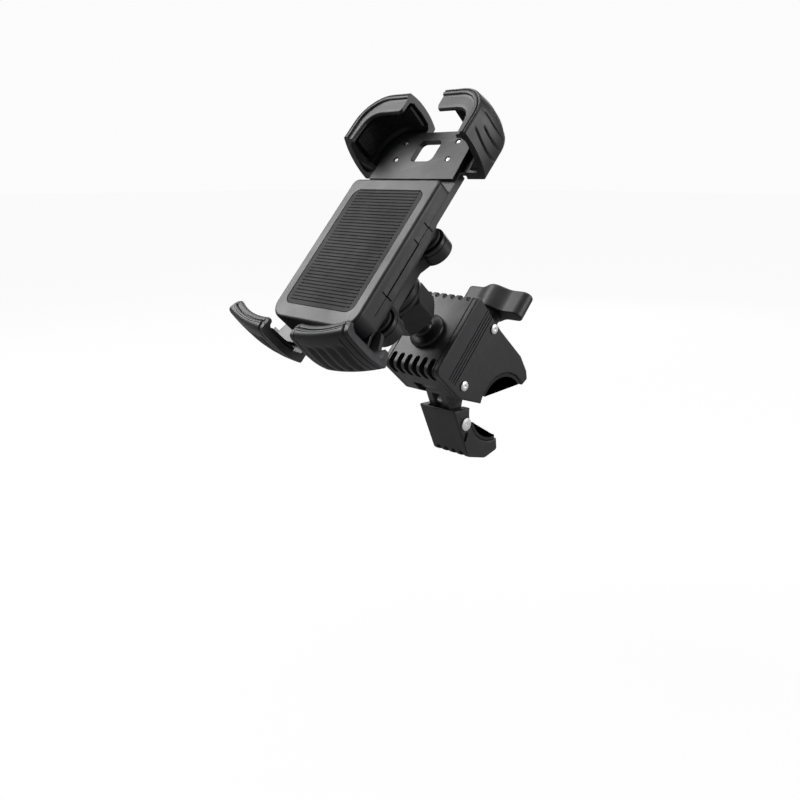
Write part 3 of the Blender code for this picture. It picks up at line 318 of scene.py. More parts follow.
def lathe(axis: Axis, centre: Flat, profile: Profile, steps: int = 64,
          phase: float = 0.0) -> bpy.types.Object:
    """Solid of revolution from (radius, height) points, closed on itself or on its axis."""
    bm = bmesh.new()
    rows = []
    for radius, height in profile:
        count = steps if radius > 0.0 else 1
        row = []
        for step in range(count):
            turn = math.tau * (step + phase) / steps
            flat = (centre[0] + radius * math.cos(turn), centre[1] + radius * math.sin(turn))
            row.append(bm.verts.new(axis.lift(flat, height)))
        rows.append(row)
    for low, high in zip(rows, rows[1:] + rows[:1]):
        if len(low) == 1 and len(high) == 1:
            continue
        for step in range(steps):
            after = (step + 1) % steps
            ring = [low[step % len(low)], low[after % len(low)],
                    high[after % len(high)], high[step % len(high)]]
            bm.faces.new(list(dict.fromkeys(ring)))
    return new_object(bm)


def bore(axis: Axis, centre: Flat, radius: float, low: float, high: float) -> bpy.types.Object:
    """Cutter for a round hole."""
    profile = [(0.0, low), (radius, low), (radius, high), (0.0, high)]
    return lathe(axis, centre, profile, 40, 0.37)


def pill(centre: Flat, radius: float, middle: float, width: float) -> bpy.types.Object:
    """Disc cutter along X with a fully round rim, which leaves a slot with round ends."""
    half = width / 2
    rim = arc((radius - half, middle), half, -90.0, 90.0, 8)
    return lathe(Axis.X, centre, [(0.0, middle - half), *rim, (0.0, middle + half)], 48)


def discard(*items: bpy.types.Object) -> None:
    """Remove shapes that are no longer needed."""
    for item in items:
        bpy.data.objects.remove(item, do_unlink=True)


def combine(target: bpy.types.Object, tools: list[bpy.types.Object],
            operation: str) -> bpy.types.Object:
    """Join tools to the target, or cut them out of it, and keep the result."""
    for tool in tools:
        modifier = target.modifiers.new("boolean", "BOOLEAN")
        modifier.operation = operation
        modifier.solver = "EXACT"
        modifier.object = tool
    return baked(target, *tools)


def baked(target: bpy.types.Object, *tools: bpy.types.Object) -> bpy.types.Object:
    """Keep the result of the target's modifiers and remove its tools."""
    graph = bpy.context.evaluated_depsgraph_get()
    result = bpy.data.meshes.new_from_object(target.evaluated_get(graph))
    target.modifiers.clear()
    target.data = result
    discard(*tools)
    return target


def cut(target: bpy.types.Object, *tools: bpy.types.Object) -> bpy.types.Object:
    """Take tools away from the target."""
    return combine(target, list(tools), "DIFFERENCE")


def join(target: bpy.types.Object, *tools: bpy.types.Object) -> bpy.types.Object:
    """Add tools to the target."""
    return combine(target, list(tools), "UNION")


def gathered(*items: bpy.types.Object) -> bpy.types.Object:
    """One object that holds several closed shapes side by side."""
    bm = bmesh.new()
    for item in items:
        bm.from_mesh(item.data)
    discard(*items)
    return shown(bm)


def mirrored(item: bpy.types.Object, side: Side) -> bpy.types.Object:
    """A copy of a right-hand shape for a side."""
    mesh = item.data.copy()
    if side is Side.LEFT:
        mesh.transform(Matrix.Scale(-1.0, 4, (1.0, 0.0, 0.0)))
        mesh.flip_normals()
    return linked(mesh)


# ---------------------------------------------------------------- node trees

def wired(tree: bpy.types.NodeTree, kind: str, feeds: dict[str | int, object],
          **options: object) -> bpy.types.Node:
    """Add a node to a tree.

    Args:
        tree: The tree.
        kind: The node's type.
        feeds: What goes into each input: a value, or the output that feeds it.
        **options: The node's own settings.

    Returns:
        The node.
    """
    made = tree.nodes.new(kind)
    for option, value in options.items():
        setattr(made, option, value)
    for label, source in feeds.items():
        if isinstance(source, bpy.types.NodeSocket):
            tree.links.new(source, made.inputs[label])
        else:
            made.inputs[label].default_value = source
    return made


# ---------------------------------------------------------------- repeats by Geometry Nodes

class Repeater:
    """A Geometry Nodes tree with named inputs that ends in real geometry and a material."""

    def __init__(self, name: str, inputs: dict[str, str]) -> None:
        """Start a tree.

        Args:
            name: The tree's name.
            inputs: Socket type of each named input.
        """
        self.tree = bpy.data.node_groups.new(name, "GeometryNodeTree")
        face = self.tree.interface
        face.new_socket("Geometry", in_out="INPUT", socket_type="NodeSocketGeometry")
        for label, kind in inputs.items():
            face.new_socket(label, in_out="INPUT", socket_type=kind)
        face.new_socket("Material", in_out="INPUT", socket_type="NodeSocketMaterial")
        face.new_socket("Geometry", in_out="OUTPUT", socket_type="NodeSocketGeometry")
        self.start = self.tree.nodes.new("NodeGroupInput")

    def node(self, kind: str, **links: object) -> bpy.types.Node:
        """Add a node; each keyword is a socket's name and what feeds it."""
        return wired(self.tree, kind,
                     {label.replace("_", " "): source for label, source in links.items()})

    def close(self, geometry: bpy.types.NodeSocket) -> None:
        """End the tree with Realize Instances and Set Material."""
        real = self.node("GeometryNodeRealizeInstances", Geometry=geometry)
        coat = self.node("GeometryNodeSetMaterial", Geometry=real.outputs["Geometry"],
                         Material=self.start.outputs["Material"])
        end = self.tree.nodes.new("NodeGroupOutput")
        self.tree.links.new(coat.outputs["Geometry"], end.inputs["Geometry"])

    def run(self, item: bpy.types.Object, material: bpy.types.Material,
            **values: object) -> bpy.types.Object:
        """Apply the tree to an object and keep plain geometry.

        Args:
            item: Object whose mesh goes in.
            material: Material of what comes out.
            **values: Value of each named input.

        Returns:
            The same object with the result as its mesh.
        """
        modifier = item.modifiers.new("repeat", "NODES")
        modifier.node_group = self.tree
        values["Material"] = material
        for socket in self.tree.interface.items_tree:
            if socket.in_out == "INPUT" and socket.name in values:
                modifier[socket.identifier] = values[socket.name]
        return baked(item)


class Repeaters:
    """The trees that this object uses."""

    def __init__(self) -> None:
        """Build every tree once."""
        self.scatter = self.scatter_tree()
        self.row = self.row_tree()
        self.coil = self.coil_tree()

    @staticmethod
    def scatter_tree() -> Repeater:
        """A piece on each point of a mesh, such as screw heads."""
        tree = Repeater("piece_on_each_point", {"Piece": "NodeSocketObject"})
        info = tree.node("GeometryNodeObjectInfo", Object=tree.start.outputs["Piece"])
        spread = tree.node("GeometryNodeInstanceOnPoints", Points=tree.start.outputs["Geometry"],
                           Instance=info.outputs["Geometry"])
        tree.close(spread.outputs["Instances"])
        return tree

    @staticmethod
    def row_tree() -> Repeater:
        """A row of one piece at a fixed step, such as grip ribs."""
        tree = Repeater("row_of_pieces", {"Piece": "NodeSocketObject", "Count": "NodeSocketInt",
                                          "Start": "NodeSocketVector", "Step": "NodeSocketVector"})
        info = tree.node("GeometryNodeObjectInfo", Object=tree.start.outputs["Piece"])
        line = tree.node("GeometryNodeMeshLine", Count=tree.start.outputs["Count"],
                         Start_Location=tree.start.outputs["Start"],
                         Offset=tree.start.outputs["Step"])
        spread = tree.node("GeometryNodeInstanceOnPoints", Points=line.outputs["Mesh"],
                           Instance=info.outputs["Geometry"])
        tree.close(spread.outputs["Instances"])
        return tree

    @staticmethod
    def coil_tree() -> Repeater:
        """A round wire wound along Z, such as a thread or a spring."""
        tree = Repeater("wound_wire", {"Turns": "NodeSocketFloat", "Radius": "NodeSocketFloat",
                                       "Height": "NodeSocketFloat", "Wire": "NodeSocketFloat"})
        wound = tree.node("GeometryNodeCurveSpiral", Resolution=20,
                          Rotations=tree.start.outputs["Turns"],
                          Start_Radius=tree.start.outputs["Radius"],
                          End_Radius=tree.start.outputs["Radius"],
                          Height=tree.start.outputs["Height"])
        ring = tree.node("GeometryNodeCurvePrimitiveCircle", Resolution=8,
                         Radius=tree.start.outputs["Wire"])
        wire = tree.node("GeometryNodeCurveToMesh", Curve=wound.outputs["Curve"],
                         Profile_Curve=ring.outputs["Curve"], Fill_Caps=True)
        tree.close(wire.outputs["Mesh"])
        return tree


# ---------------------------------------------------------------- shared shader groups

class Surface:
    """Shader node groups that several finishes share: grain, edge wear with a painted edge
    highlight, and settled dust.
    """

    def __init__(self) -> None:
        """Build every group once."""
        self.grain = self.grain_group()
        self.wear = self.wear_group()
        self.dust = self.dust_group()

    @staticmethod
    def start(name: str, inputs: dict[str, float], outputs: tuple[str, ...]
              ) -> tuple[bpy.types.NodeTree, bpy.types.Node, bpy.types.Node]:
        """New group with a Vector input, float inputs with defaults, and float outputs."""
        group = bpy.data.node_groups.new(name, "ShaderNodeTree")
        group.interface.new_socket("Vector", in_out="INPUT", socket_type="NodeSocketVector")
        for label, value in inputs.items():
            socket = group.interface.new_socket(label, in_out="INPUT",
                                                socket_type="NodeSocketFloat")
            socket.default_value = value
        for label in outputs:
            group.interface.new_socket(label, in_out="OUTPUT", socket_type="NodeSocketFloat")
        return group, group.nodes.new("NodeGroupInput"), group.nodes.new("NodeGroupOutput")

    @staticmethod
    def grain_group() -> bpy.types.NodeTree:
        """Fine eroded grain of a mould, with slow patches in its gloss."""
        group, into, out = Surface.start("moulded_grain", {"Scale": 1500.0, "Patches": 45.0},
                                         ("Height", "Patch"))
        vector, scale = into.outputs["Vector"], into.outputs["Scale"]
        pits = wired(group, "ShaderNodeTexVoronoi", {"Vector": vector, "Scale": scale},
                     feature="SMOOTH_F1")
        fine = wired(group, "ShaderNodeTexNoise",
                     {"Detail": 4.0, "Roughness": 0.6, "Vector": vector, "Scale": scale})
        both = wired(group, "ShaderNodeMath",
                     {0: pits.outputs["Distance"], 1: 0.6, 2: fine.outputs["Fac"]},
                     operation="MULTIPLY_ADD")
        slow = wired(group, "ShaderNodeTexNoise",
                     {"Detail": 3.0, "Vector": vector, "Scale": into.outputs["Patches"]})
        spread = wired(group, "ShaderNodeMapRange",
                       {"From Min": 0.3, "From Max": 0.7, "Value": slow.outputs["Fac"]})
        group.links.new(both.outputs["Value"], out.inputs["Height"])
        group.links.new(spread.outputs["Result"], out.inputs["Patch"])
        return group

    @staticmethod
    def wear_group() -> bpy.types.NodeTree:
        """Rubbed edges with a painted edge highlight: where the surface is convex, broken up by
        noise.
        """
        group, into, out = Surface.start("rubbed_edges", {"Start": 0.515, "Full": 0.60,
                                                          "Breakup": 260.0}, ("Mask",))
        shape = wired(group, "ShaderNodeNewGeometry", {})
        edge = wired(group, "ShaderNodeMapRange",
                     {"Value": shape.outputs["Pointiness"], "From Min": into.outputs["Start"],
                      "From Max": into.outputs["Full"]})
        noise = wired(group, "ShaderNodeTexNoise",
                      {"Detail": 5.0, "Vector": into.outputs["Vector"],
                       "Scale": into.outputs["Breakup"]})
        broken = wired(group, "ShaderNodeMapRange",
                       {"From Min": 0.25, "From Max": 0.65, "Value": noise.outputs["Fac"]})
        mask = wired(group, "ShaderNodeMath",
                     {0: edge.outputs["Result"], 1: broken.outputs["Result"]},
                     operation="MULTIPLY")
        group.links.new(mask.outputs["Value"], out.inputs["Mask"])
        return group

    @staticmethod
    def dust_group() -> bpy.types.NodeTree:
        """Fine dust that settles on faces that look up, in uneven patches."""
        group, into, out = Surface.start("settled_dust", {"Patches": 120.0}, ("Mask",))
        shape = wired(group, "ShaderNodeNewGeometry", {})
        split = wired(group, "ShaderNodeSeparateXYZ", {"Vector": shape.outputs["Normal"]})
        upward = wired(group, "ShaderNodeMapRange",
                       {"From Min": 0.2, "From Max": 1.0, "Value": split.outputs["Z"]})
        noise = wired(group, "ShaderNodeTexNoise",
                      {"Detail": 6.0, "Roughness": 0.65, "Vector": into.outputs["Vector"],
                       "Scale": into.outputs["Patches"]})
        patchy = wired(group, "ShaderNodeMapRange",
                       {"From Min": 0.42, "From Max": 0.72, "Value": noise.outputs["Fac"]})
        mask = wired(group, "ShaderNodeMath",
                     {0: upward.outputs["Result"], 1: patchy.outputs["Result"]},
                     operation="MULTIPLY")
        group.links.new(mask.outputs["Value"], out.inputs["Mask"])
        return group


# ---------------------------------------------------------------- finishes

@dataclass(frozen=True)
class Finish:
    """One material: its colours, gloss, grain, wear with a painted edge highlight, and dust."""

    name: str
    slot: str
    colour: tuple[float, float, float]
    # worn: lighter colour of convex edges, a painted edge highlight with a little real wear
    worn: tuple[float, float, float]
    roughness: float
    metallic: float = 0.0
    specular: float = 0.5
    gloss_spread: float = 0.10
    grain: float = 1500.0
    grain_depth: float = 0.00002
    grain_strength: float = 0.25
    # wear: how strongly convex edges take that painted highlight and wear colour
    wear: float = 0.5
    dust: float = 0.07
    dust_colour: tuple[float, float, float] = (0.30, 0.29, 0.27)
    patch_shade: float = 0.82
    stretch: tuple[float, float, float] = (1.0, 1.0, 1.0)

    def make(self, surface: Surface) -> bpy.types.Material:
        """Build the material.

        Args:
            surface: The shared shader groups.

        Returns:
            The finished material.
        """
        material = bpy.data.materials.new(self.name)
        material.use_nodes = True
        tree = material.node_tree
        shader = tree.nodes["Principled BSDF"]
        shader.inputs["Metallic"].default_value = self.metallic
        shader.inputs["Specular IOR Level"].default_value = self.specular
        place = wired(tree, "ShaderNodeTexCoord", {})
        turn = wired(tree, "ShaderNodeMapping",
                     {"Scale": self.stretch, "Vector": place.outputs["Object"]})

        def group(shared: bpy.types.NodeTree, **values: float) -> bpy.types.Node:
            """Place a shared group with its own values."""
            made = wired(tree, "ShaderNodeGroup", {}, node_tree=shared)
            tree.links.new(turn.outputs["Vector"], made.inputs["Vector"])
            for label, value in values.items():
                made.inputs[label].default_value = value
            return made

        def mixed(below: object, above: tuple[float, float, float], mask: bpy.types.NodeSocket,
                  amount: float) -> bpy.types.NodeSocket:
            """Colour laid over another by a mask."""
            weight = wired(tree, "ShaderNodeMath", {0: mask, 1: amount}, operation="MULTIPLY")
            if isinstance(below, tuple):
                below = (*below, 1.0)
            mix = wired(tree, "ShaderNodeMix",
                        {"Factor": weight.outputs["Value"], MIX_BELOW: below,
                         MIX_ABOVE: (*above, 1.0)}, data_type="RGBA")
            return mix.outputs[MIX_COLOUR]

        grain = group(surface.grain, Scale=self.grain)
        patch = grain.outputs["Patch"]
        shade = tuple(value * self.patch_shade for value in self.colour)
        colour = mixed(self.colour, shade, patch, 1.0)
        # convex edges are painted lighter: a painted edge highlight, with a little wear
        colour = mixed(colour, self.worn, group(surface.wear).outputs["Mask"], self.wear)
        colour = mixed(colour, self.dust_colour, group(surface.dust).outputs["Mask"], self.dust)
        gloss = wired(tree, "ShaderNodeMapRange",
                      {"To Min": self.roughness - self.gloss_spread / 2,
                       "To Max": self.roughness + self.gloss_spread / 2, "Value": patch})
        bump = wired(tree, "ShaderNodeBump",
                     {"Strength": self.grain_strength, "Distance": self.grain_depth,
                      "Height": grain.outputs["Height"]})
        tree.links.new(colour, shader.inputs["Base Color"])
        tree.links.new(gloss.outputs["Result"], shader.inputs["Roughness"])
        tree.links.new(bump.outputs["Normal"], shader.inputs["Normal"])
        return material


class Coat(Enum):
    """The finishes of this mount."""

    HOUSING = Finish("charcoal_nylon", "housing_plastic", (0.0125, 0.0125, 0.0145),
                     (0.060, 0.060, 0.065), 0.48, specular=0.40)
    CLAW = Finish("claw_nylon", "claw_plastic", (0.016, 0.016, 0.0185),
                  (0.075, 0.075, 0.080), 0.47, specular=0.36)
    DARK = Finish("black_nylon", "housing_plastic", (0.005, 0.005, 0.0055),
                  (0.035, 0.035, 0.038), 0.40, specular=0.40)
    RUBBER = Finish("black_rubber", "rubber", (0.010, 0.010, 0.011), (0.025, 0.025, 0.027), 0.72,
                    specular=0.30, grain=900.0, grain_strength=0.5, wear=0.2)
    ANODISED = Finish("black_anodised", "black_aluminium", (0.012, 0.012, 0.013),
                      (0.12, 0.12, 0.125), 0.30, metallic=0.35, grain=2600.0, wear=0.35,
                      stretch=(1.0, 1.0, 0.3))
    LEVER = Finish("grey_anodised", "black_aluminium", (0.060, 0.060, 0.064),
                   (0.20, 0.20, 0.21), 0.40, metallic=0.4, grain=2600.0, wear=0.4)
    STEEL = Finish("zinc_steel", "steel", (0.78, 0.78, 0.79), (0.90, 0.90, 0.91), 0.40,
                   metallic=0.72, gloss_spread=0.16, grain=2200.0, grain_strength=0.35,
                   dust=0.04, stretch=(0.25, 1.0, 1.0))
    ACETAL = Finish("dark_acetal", "liner_acetal", (0.045, 0.045, 0.048), (0.10, 0.10, 0.10), 0.38)


# ---------------------------------------------------------------- frame and bench

class MountFrame:
    """The mount's own frame, found from the joints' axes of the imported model."""

    def __init__(self, loaded: dict) -> None:
        """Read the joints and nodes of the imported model."""
        self.nodes = loaded["nodes"]
        self.joints = {joint["name"]: joint for joint in loaded["joints"]}
        across = Vector((1.0, 0.0, 0.0))
        along = Vector(self.joints["ball_yaw"]["axis"])
        out = Vector(self.joints["stud_spin"]["axis"])
        turn = Matrix((across, along, out)).transposed().to_4x4()
        self.to_world = turn @ Matrix.Scale(MM, 4)
        self.to_local = self.to_world.inverted()

    def extent(self, *names: str) -> tuple[Vector, Vector]:
        """Lowest and highest corner of CAD nodes, in the mount's frame."""
        points = [self.to_local @ vertex.co for name in names
                  for vertex in self.nodes[name].data.vertices]
        low = Vector([min(point[axis] for point in points) for axis in range(3)])
        high = Vector([max(point[axis] for point in points) for axis in range(3)])
        return low, high

    def pivot(self, joint: str) -> Vector:
        """A joint's point in the mount's frame."""
        return self.to_local @ Vector(self.joints[joint]["pos_m"])


class Bench:
    """Finishes shapes: gives them their place, name, material and body."""

    def __init__(self, loaded: dict) -> None:
        """Set up the frame, materials and repeat tools."""
        self.frame = MountFrame(loaded)
        self.repeat = Repeaters()
        surface = Surface()
        self.materials = {coat: coat.value.make(surface) for coat in Coat}

    def finish(self, item: bpy.types.Object, name: str, body: str, coat: Coat,
               *replaced: str, sharp: float = 38.0,
               give: Give | None = None) -> bpy.types.Object:
        """Turn a shape into a finished piece.

        Args:
            item: Shape in the mount's frame, in millimetres.
            name: The piece's name.
            body: The body that it rides on.
            coat: Its finish.
            *replaced: CAD nodes that it stands for.
            sharp: Angle in degrees past which an edge stays sharp.
            give: The second body and the two ends of a springy piece; when it is given, the piece
                is kept in place and rides on no body.

        Returns:
            The piece, in place.
        """
        bm = bmesh.new()
        bm.from_mesh(item.data)
        bmesh.ops.remove_doubles(bm, verts=bm.verts, dist=0.0005)
        bm.to_mesh(item.data)
        bm.free()
        item.data.transform(self.frame.to_world)
        item.data.shade_smooth()
        item.data.set_sharp_from_angle(angle=math.radians(sharp))
        weigh = item.modifiers.new("weigh", "WEIGHTED_NORMAL")
        weigh.keep_sharp = True
        weigh.weight = 80
        baked(item)
        item.name = name
        item.data.name = name
        item.data.materials.clear()
        item.data.materials.append(self.materials[coat])
        if give is None:
            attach(item, body)
        else:
            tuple(give[1])
            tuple(give[2])
            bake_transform(item)
        if replaced:
            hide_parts(*replaced)
        LOG.info("%s: %d faces on %s", name, len(item.data.polygons), body)
        return item

    def repeated(self, tree: Repeater, points: list[Vector], coat: Coat,
                 piece: bpy.types.Object | None = None, **values: object) -> bpy.types.Object:
        """Run a repeat tool in the mount's frame.

        Args:
            tree: The tool.
            points: Points that go in.
            coat: Finish of the result.
            piece: Shape that is repeated; it is removed afterwards.
            **values: The tool's other inputs.

        Returns:
            The repeated shape.
        """
        mesh = bpy.data.meshes.new("places")
        mesh.from_pydata(points, [], [])
        item = linked(mesh, "places")
        if piece is not None:
            values["Piece"] = piece
        tree.run(item, self.materials[coat], **values)
        if piece is not None:
            discard(piece)
        return item


@dataclass(frozen=True)
class Levels:
    """Sizes that several sub-assemblies share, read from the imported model, in millimetres."""

    seat: float
    front: float
    top: float
    bottom: float
    back_top: float
    body_half: float
    half: float
    plate_pin: Flat
    rocker_pin: Flat
    nut_pivot: Flat
    jaw_pin: Flat
    screw_z: float
    ball_y: float
    ball_z: float

    @classmethod
    def read(cls, place: MountFrame) -> "Levels":
        """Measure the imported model.

        Args:
            place: The mount's frame.

        Returns:
            The shared sizes.
        """
        low, high = place.extent("clamp_body")
        edge = place.extent("side_plate_right")[1].x
        pad_low = place.extent("lower_bar_pad")[0]
        back = place.extent("knob_washer")[0].y - GAP
        pin_low, pin_high = place.extent("plate_pin")
        ball = place.pivot("ball_pitch")
        pivots = {name: place.pivot(name)
                  for name in ("rocker_swing", "nut_swivel", "jaw_swivel", "knob_turn")}
        flat = {name: (spot.y, spot.z) for name, spot in pivots.items()}
        middle = (pin_low + pin_high) / 2
        return cls(seat=GAP - pad_low.y, front=high.z,
                   top=high.y, bottom=low.y, back_top=back, body_half=high.x, half=edge,
                   plate_pin=(middle.y, middle.z), rocker_pin=flat["rocker_swing"],
                   nut_pivot=flat["nut_swivel"], jaw_pin=flat["jaw_swivel"],
                   screw_z=pivots["knob_turn"].z, ball_y=ball.y, ball_z=ball.z)


@dataclass
class Part:
    """What every sub-assembly has: the bench, and the sizes they share."""

    bench: Bench
    levels: Levels

    def softened(self, node: str, width: float) -> bpy.types.Object:
        """A copy of a CAD node in the mount's frame, with its loose triangles merged and its
        sharp edges rounded.

        Args:
            node: The CAD node.
            width: Radius of the edges.

        Returns:
            The new shape.
        """
        bm = bmesh.new()
        bm.from_mesh(self.bench.frame.nodes[node].data)
        bmesh.ops.transform(bm, matrix=self.bench.frame.to_local, verts=bm.verts)
        bmesh.ops.remove_doubles(bm, verts=bm.verts, dist=0.002)
        bmesh.ops.dissolve_limit(bm, angle_limit=math.radians(1.0), verts=bm.verts,
                                 edges=bm.edges)
        return self.eased(new_object(bm), width)

    @staticmethod
    def eased(item: bpy.types.Object, width: float, angle: float = 35.0) -> bpy.types.Object:
        """Round the sharp edges of a shape by a small radius."""
        bevel = item.modifiers.new("ease", "BEVEL")
        bevel.width = width
        bevel.segments = 2
        bevel.limit_method = "ANGLE"
        bevel.angle_limit = math.radians(angle)
        bevel.use_clamp_overlap = True
        bevel.miter_outer = "MITER_ARC"
        return baked(item)

    def on_both_sides(self, body: str,
                      *shapes: tuple[bpy.types.Object, str, Coat, str]) -> None:
        """Finish right-hand shapes on both sides.

        Args:
            body: The body that they ride on.
            *shapes: Each shape, its name, its finish and its CAD node, names without the side.
        """
        for side in Side:
            for shape, name, coat, node in shapes:
                self.bench.finish(mirrored(shape, side), f"{name}_{side.word}", body, coat,
                                  f"{node}_{side.word}")
        discard(*(shape for shape, *_ in shapes))

    def dress(self, coat: Coat, *names: str) -> None:
        """Give CAD nodes that stay as they are their finish."""
        for name in names:
            node = self.bench.frame.nodes[name]
            for slot in node.material_slots:
                slot.material = self.bench.materials[coat]
            LOG.info("%s: kept from the frame", name)


# ---------------------------------------------------------------- clamp

@dataclass
class HandlebarClamp(Part):
    """Clamp body, its side plates, the pad over the bar and the pins through them."""

    wall: float = 3.5
    pin_radius: float = 2.0
    pin_head: float = 2.9
    vent_width: float = 3.7
    vent_pitch: float = 6.0
    vent_count: int = 6
    room_half: float = 8.8
    pad: float = 3.0
    throat: float = -24.0
    hook_end: float = 106.0
    bar_steps: int = 40
    lines: int = 4
    line_pitch: float = 2.0
    line_width: float = 0.7

    def outline(self) -> Outline:
        """Side view: a square front, a sloping back and a hook over the bar."""
        lv = self.levels
        hook_end, throat, steps = self.hook_end, self.throat, self.bar_steps
        corners = [(lv.bottom, lv.front), (lv.bottom, lv.front - 26.5),
                   polar(lv.seat + 5.8, throat)]
        corners += [polar(lv.seat, throat + (hook_end - throat) * step / steps)
                    for step in range(steps + 1)]
        corners += [polar(lv.seat + 5.6, hook_end), polar(lv.seat + 8.0, hook_end - 10.0),
                    (lv.back_top, lv.seat - 13.5), (lv.back_top, lv.front - 29.5),
                    (lv.top, lv.front)]
        radii = [4.0, 2.0, 1.5] + [0.0] * (steps + 1) + [1.5, 3.0, 4.0, 6.0, 2.5]
        return rounded(corners, radii, 8)

    def vents(self, place: Flat, radius: float, count: int) -> list[bpy.types.Object]:
        """Cutters for a row of round-ended vents in an edge."""
        first = -self.vent_pitch * (count - 1) / 2
        return [pill(place, radius, first + self.vent_pitch * index, self.vent_width)
                for index in range(count)]

    def side_pocket(self) -> bpy.types.Object:
        """Hollow beside the middle web, going round the two pin bosses."""
        lv = self.levels
        corners = [(lv.bottom + self.wall, lv.front - self.wall),
                   (lv.bottom + self.wall, lv.front - 26.5)]
        corners += [polar(lv.seat + self.wall, -14.0 + 6.0 * step) for step in range(17)]
        corners += [(lv.back_top - self.wall, lv.front - 29.5),
                    (lv.top - self.wall - 0.5, lv.front - self.wall)]
        hollow = prism(Axis.X, corners, 11.4, lv.body_half + 5.0)
        bosses = [bore(Axis.X, place, radius, 5.0, lv.body_half + 9.0)
                  for place, radius in ((lv.plate_pin, 4.6), (lv.rocker_pin, 5.0))]
        return cut(hollow, *bosses)

    def body(self) -> bpy.types.Object:
        """Moulded body with its pockets, vents and screw holes."""
        lv = self.levels
        body = prism(Axis.X, self.outline(), -lv.body_half, lv.body_half, 0.35, 0.35)
        inner = self.room_half
        room = lv.rocker_pin[1] + 6.8
        rocker_room = prism(Axis.X, [(lv.bottom - 20.0, room), (lv.ball_y - 10.0, room),
                                     (lv.nut_pivot[0] + 10.0, room - 7.0),
                                     (lv.nut_pivot[0] + 10.0, lv.seat - 8.0),
                                     (lv.bottom - 20.0, lv.seat - 8.0)], -inner, inner)
        stud_room = block((-inner, lv.ball_y - 10.5, room - 9.0),
                          (inner, lv.ball_y + 9.0, lv.front - 4.0), 1.5)
        right = self.side_pocket()
        left = mirrored(right, Side.LEFT)
        lower = self.vents((lv.bottom + 1.5, lv.front - 1.5), 7.5, self.vent_count)
        upper = self.vents((lv.top - 0.5, lv.front - 0.5), 4.2, self.vent_count)
        cut(body, rocker_room, stud_room, right, left,
            bore(Axis.Y, (0.0, lv.screw_z), 3.1, lv.nut_pivot[0] + 5.0, lv.top + 9.0),
            bore(Axis.Z, (0.0, lv.ball_y), 4.3, lv.front - 9.0, lv.front + 5.0),
            bore(Axis.X, lv.plate_pin, self.pin_radius + GAP, -lv.half, lv.half),
            bore(Axis.X, lv.rocker_pin, self.pin_radius + GAP, -lv.half, lv.half),
            *lower, *upper)
        return self.eased(body, 0.3)

    def plate(self) -> bpy.types.Object:
        """Right side plate: rounded rim, four engraved lines and two pin holes."""
        lv = self.levels
        low = lv.body_half + GAP
        plate = prism(Axis.X, self.outline(), low, lv.half, 0.3, 1.0, 4)
        tools = []
        wide = self.line_width / 2
        for index in range(self.lines):
            level = lv.front - 17.4 + self.line_pitch * index
            tools.append(block((lv.half - 0.6, lv.bottom + 3.6, level - wide),
                               (lv.half + 1.0, lv.back_top + 0.6 + 0.2 * index, level + wide)))
        tools += [bore(Axis.X, place, self.pin_radius + GAP, low - 1.0, lv.half + 1.0)
                  for place in (lv.plate_pin, lv.rocker_pin)]
        return self.eased(cut(plate, *tools), 0.12)

    def rivet(self, place: Flat, half_length: float, head: float) -> bpy.types.Object:
        """Cross pin with a domed, dimpled head at each end."""
        side = [(self.pin_radius, 0.0), (head - 0.25, 0.0), (head, 0.22), (head, 0.45),
                (head - 0.18, 0.70), (head * 0.72, 0.90), (head * 0.42, 0.99), (0.75, 0.97),
                (0.55, 0.80), (0.35, 0.62), (0.0, 0.55)]
        profile = [(radius, -half_length - rise) for radius, rise in side[::-1]]
        profile += [(radius, half_length + rise) for radius, rise in side]
        return lathe(Axis.X, place, profile, 40)

    def bar_pad(self, start: float, end: float, half_width: float) -> bpy.types.Object:
        """Curved rubber pad with grip grooves across the bar's side."""
        lv = self.levels
        steps = int(abs(end - start) * 2)
        outer = [polar(lv.seat - GAP, start + (end - start) * step / steps)
                 for step in range(steps + 1)]
        inner = []
        for step in range(steps + 1):
            depth = 0.45 if step % 8 in (3, 4, 5) else 0.0
            inner.append(polar(lv.seat - self.pad + depth, end + (start - end) * step / steps))
        return prism(Axis.X, outer + inner, -half_width, half_width, 0.25, 0.25)

    def build(self) -> None:
        """Build and dress everything that stays on the handlebar."""
        lv = self.levels
        bench = self.bench
        bench.finish(self.body(), "clamp_housing", "clamp", Coat.HOUSING, "clamp_body")
        self.on_both_sides("clamp", (self.plate(), "clamp_side", Coat.HOUSING, "side_plate"))
        bench.finish(self.bar_pad(-10.0, 98.0, lv.half - 0.8), "bar_grip_upper", "clamp",
                     Coat.RUBBER, "upper_bar_pad")
        bench.finish(self.rivet(lv.plate_pin, lv.half + GAP, self.pin_head), "rivet_upper",
                     "clamp", Coat.STEEL, "plate_pin")
        bench.finish(self.rivet(lv.rocker_pin, lv.half + GAP, self.pin_head), "rivet_lower",
                     "clamp", Coat.STEEL, "rocker_pin")
        self.dress(Coat.STEEL, "knob_washer")


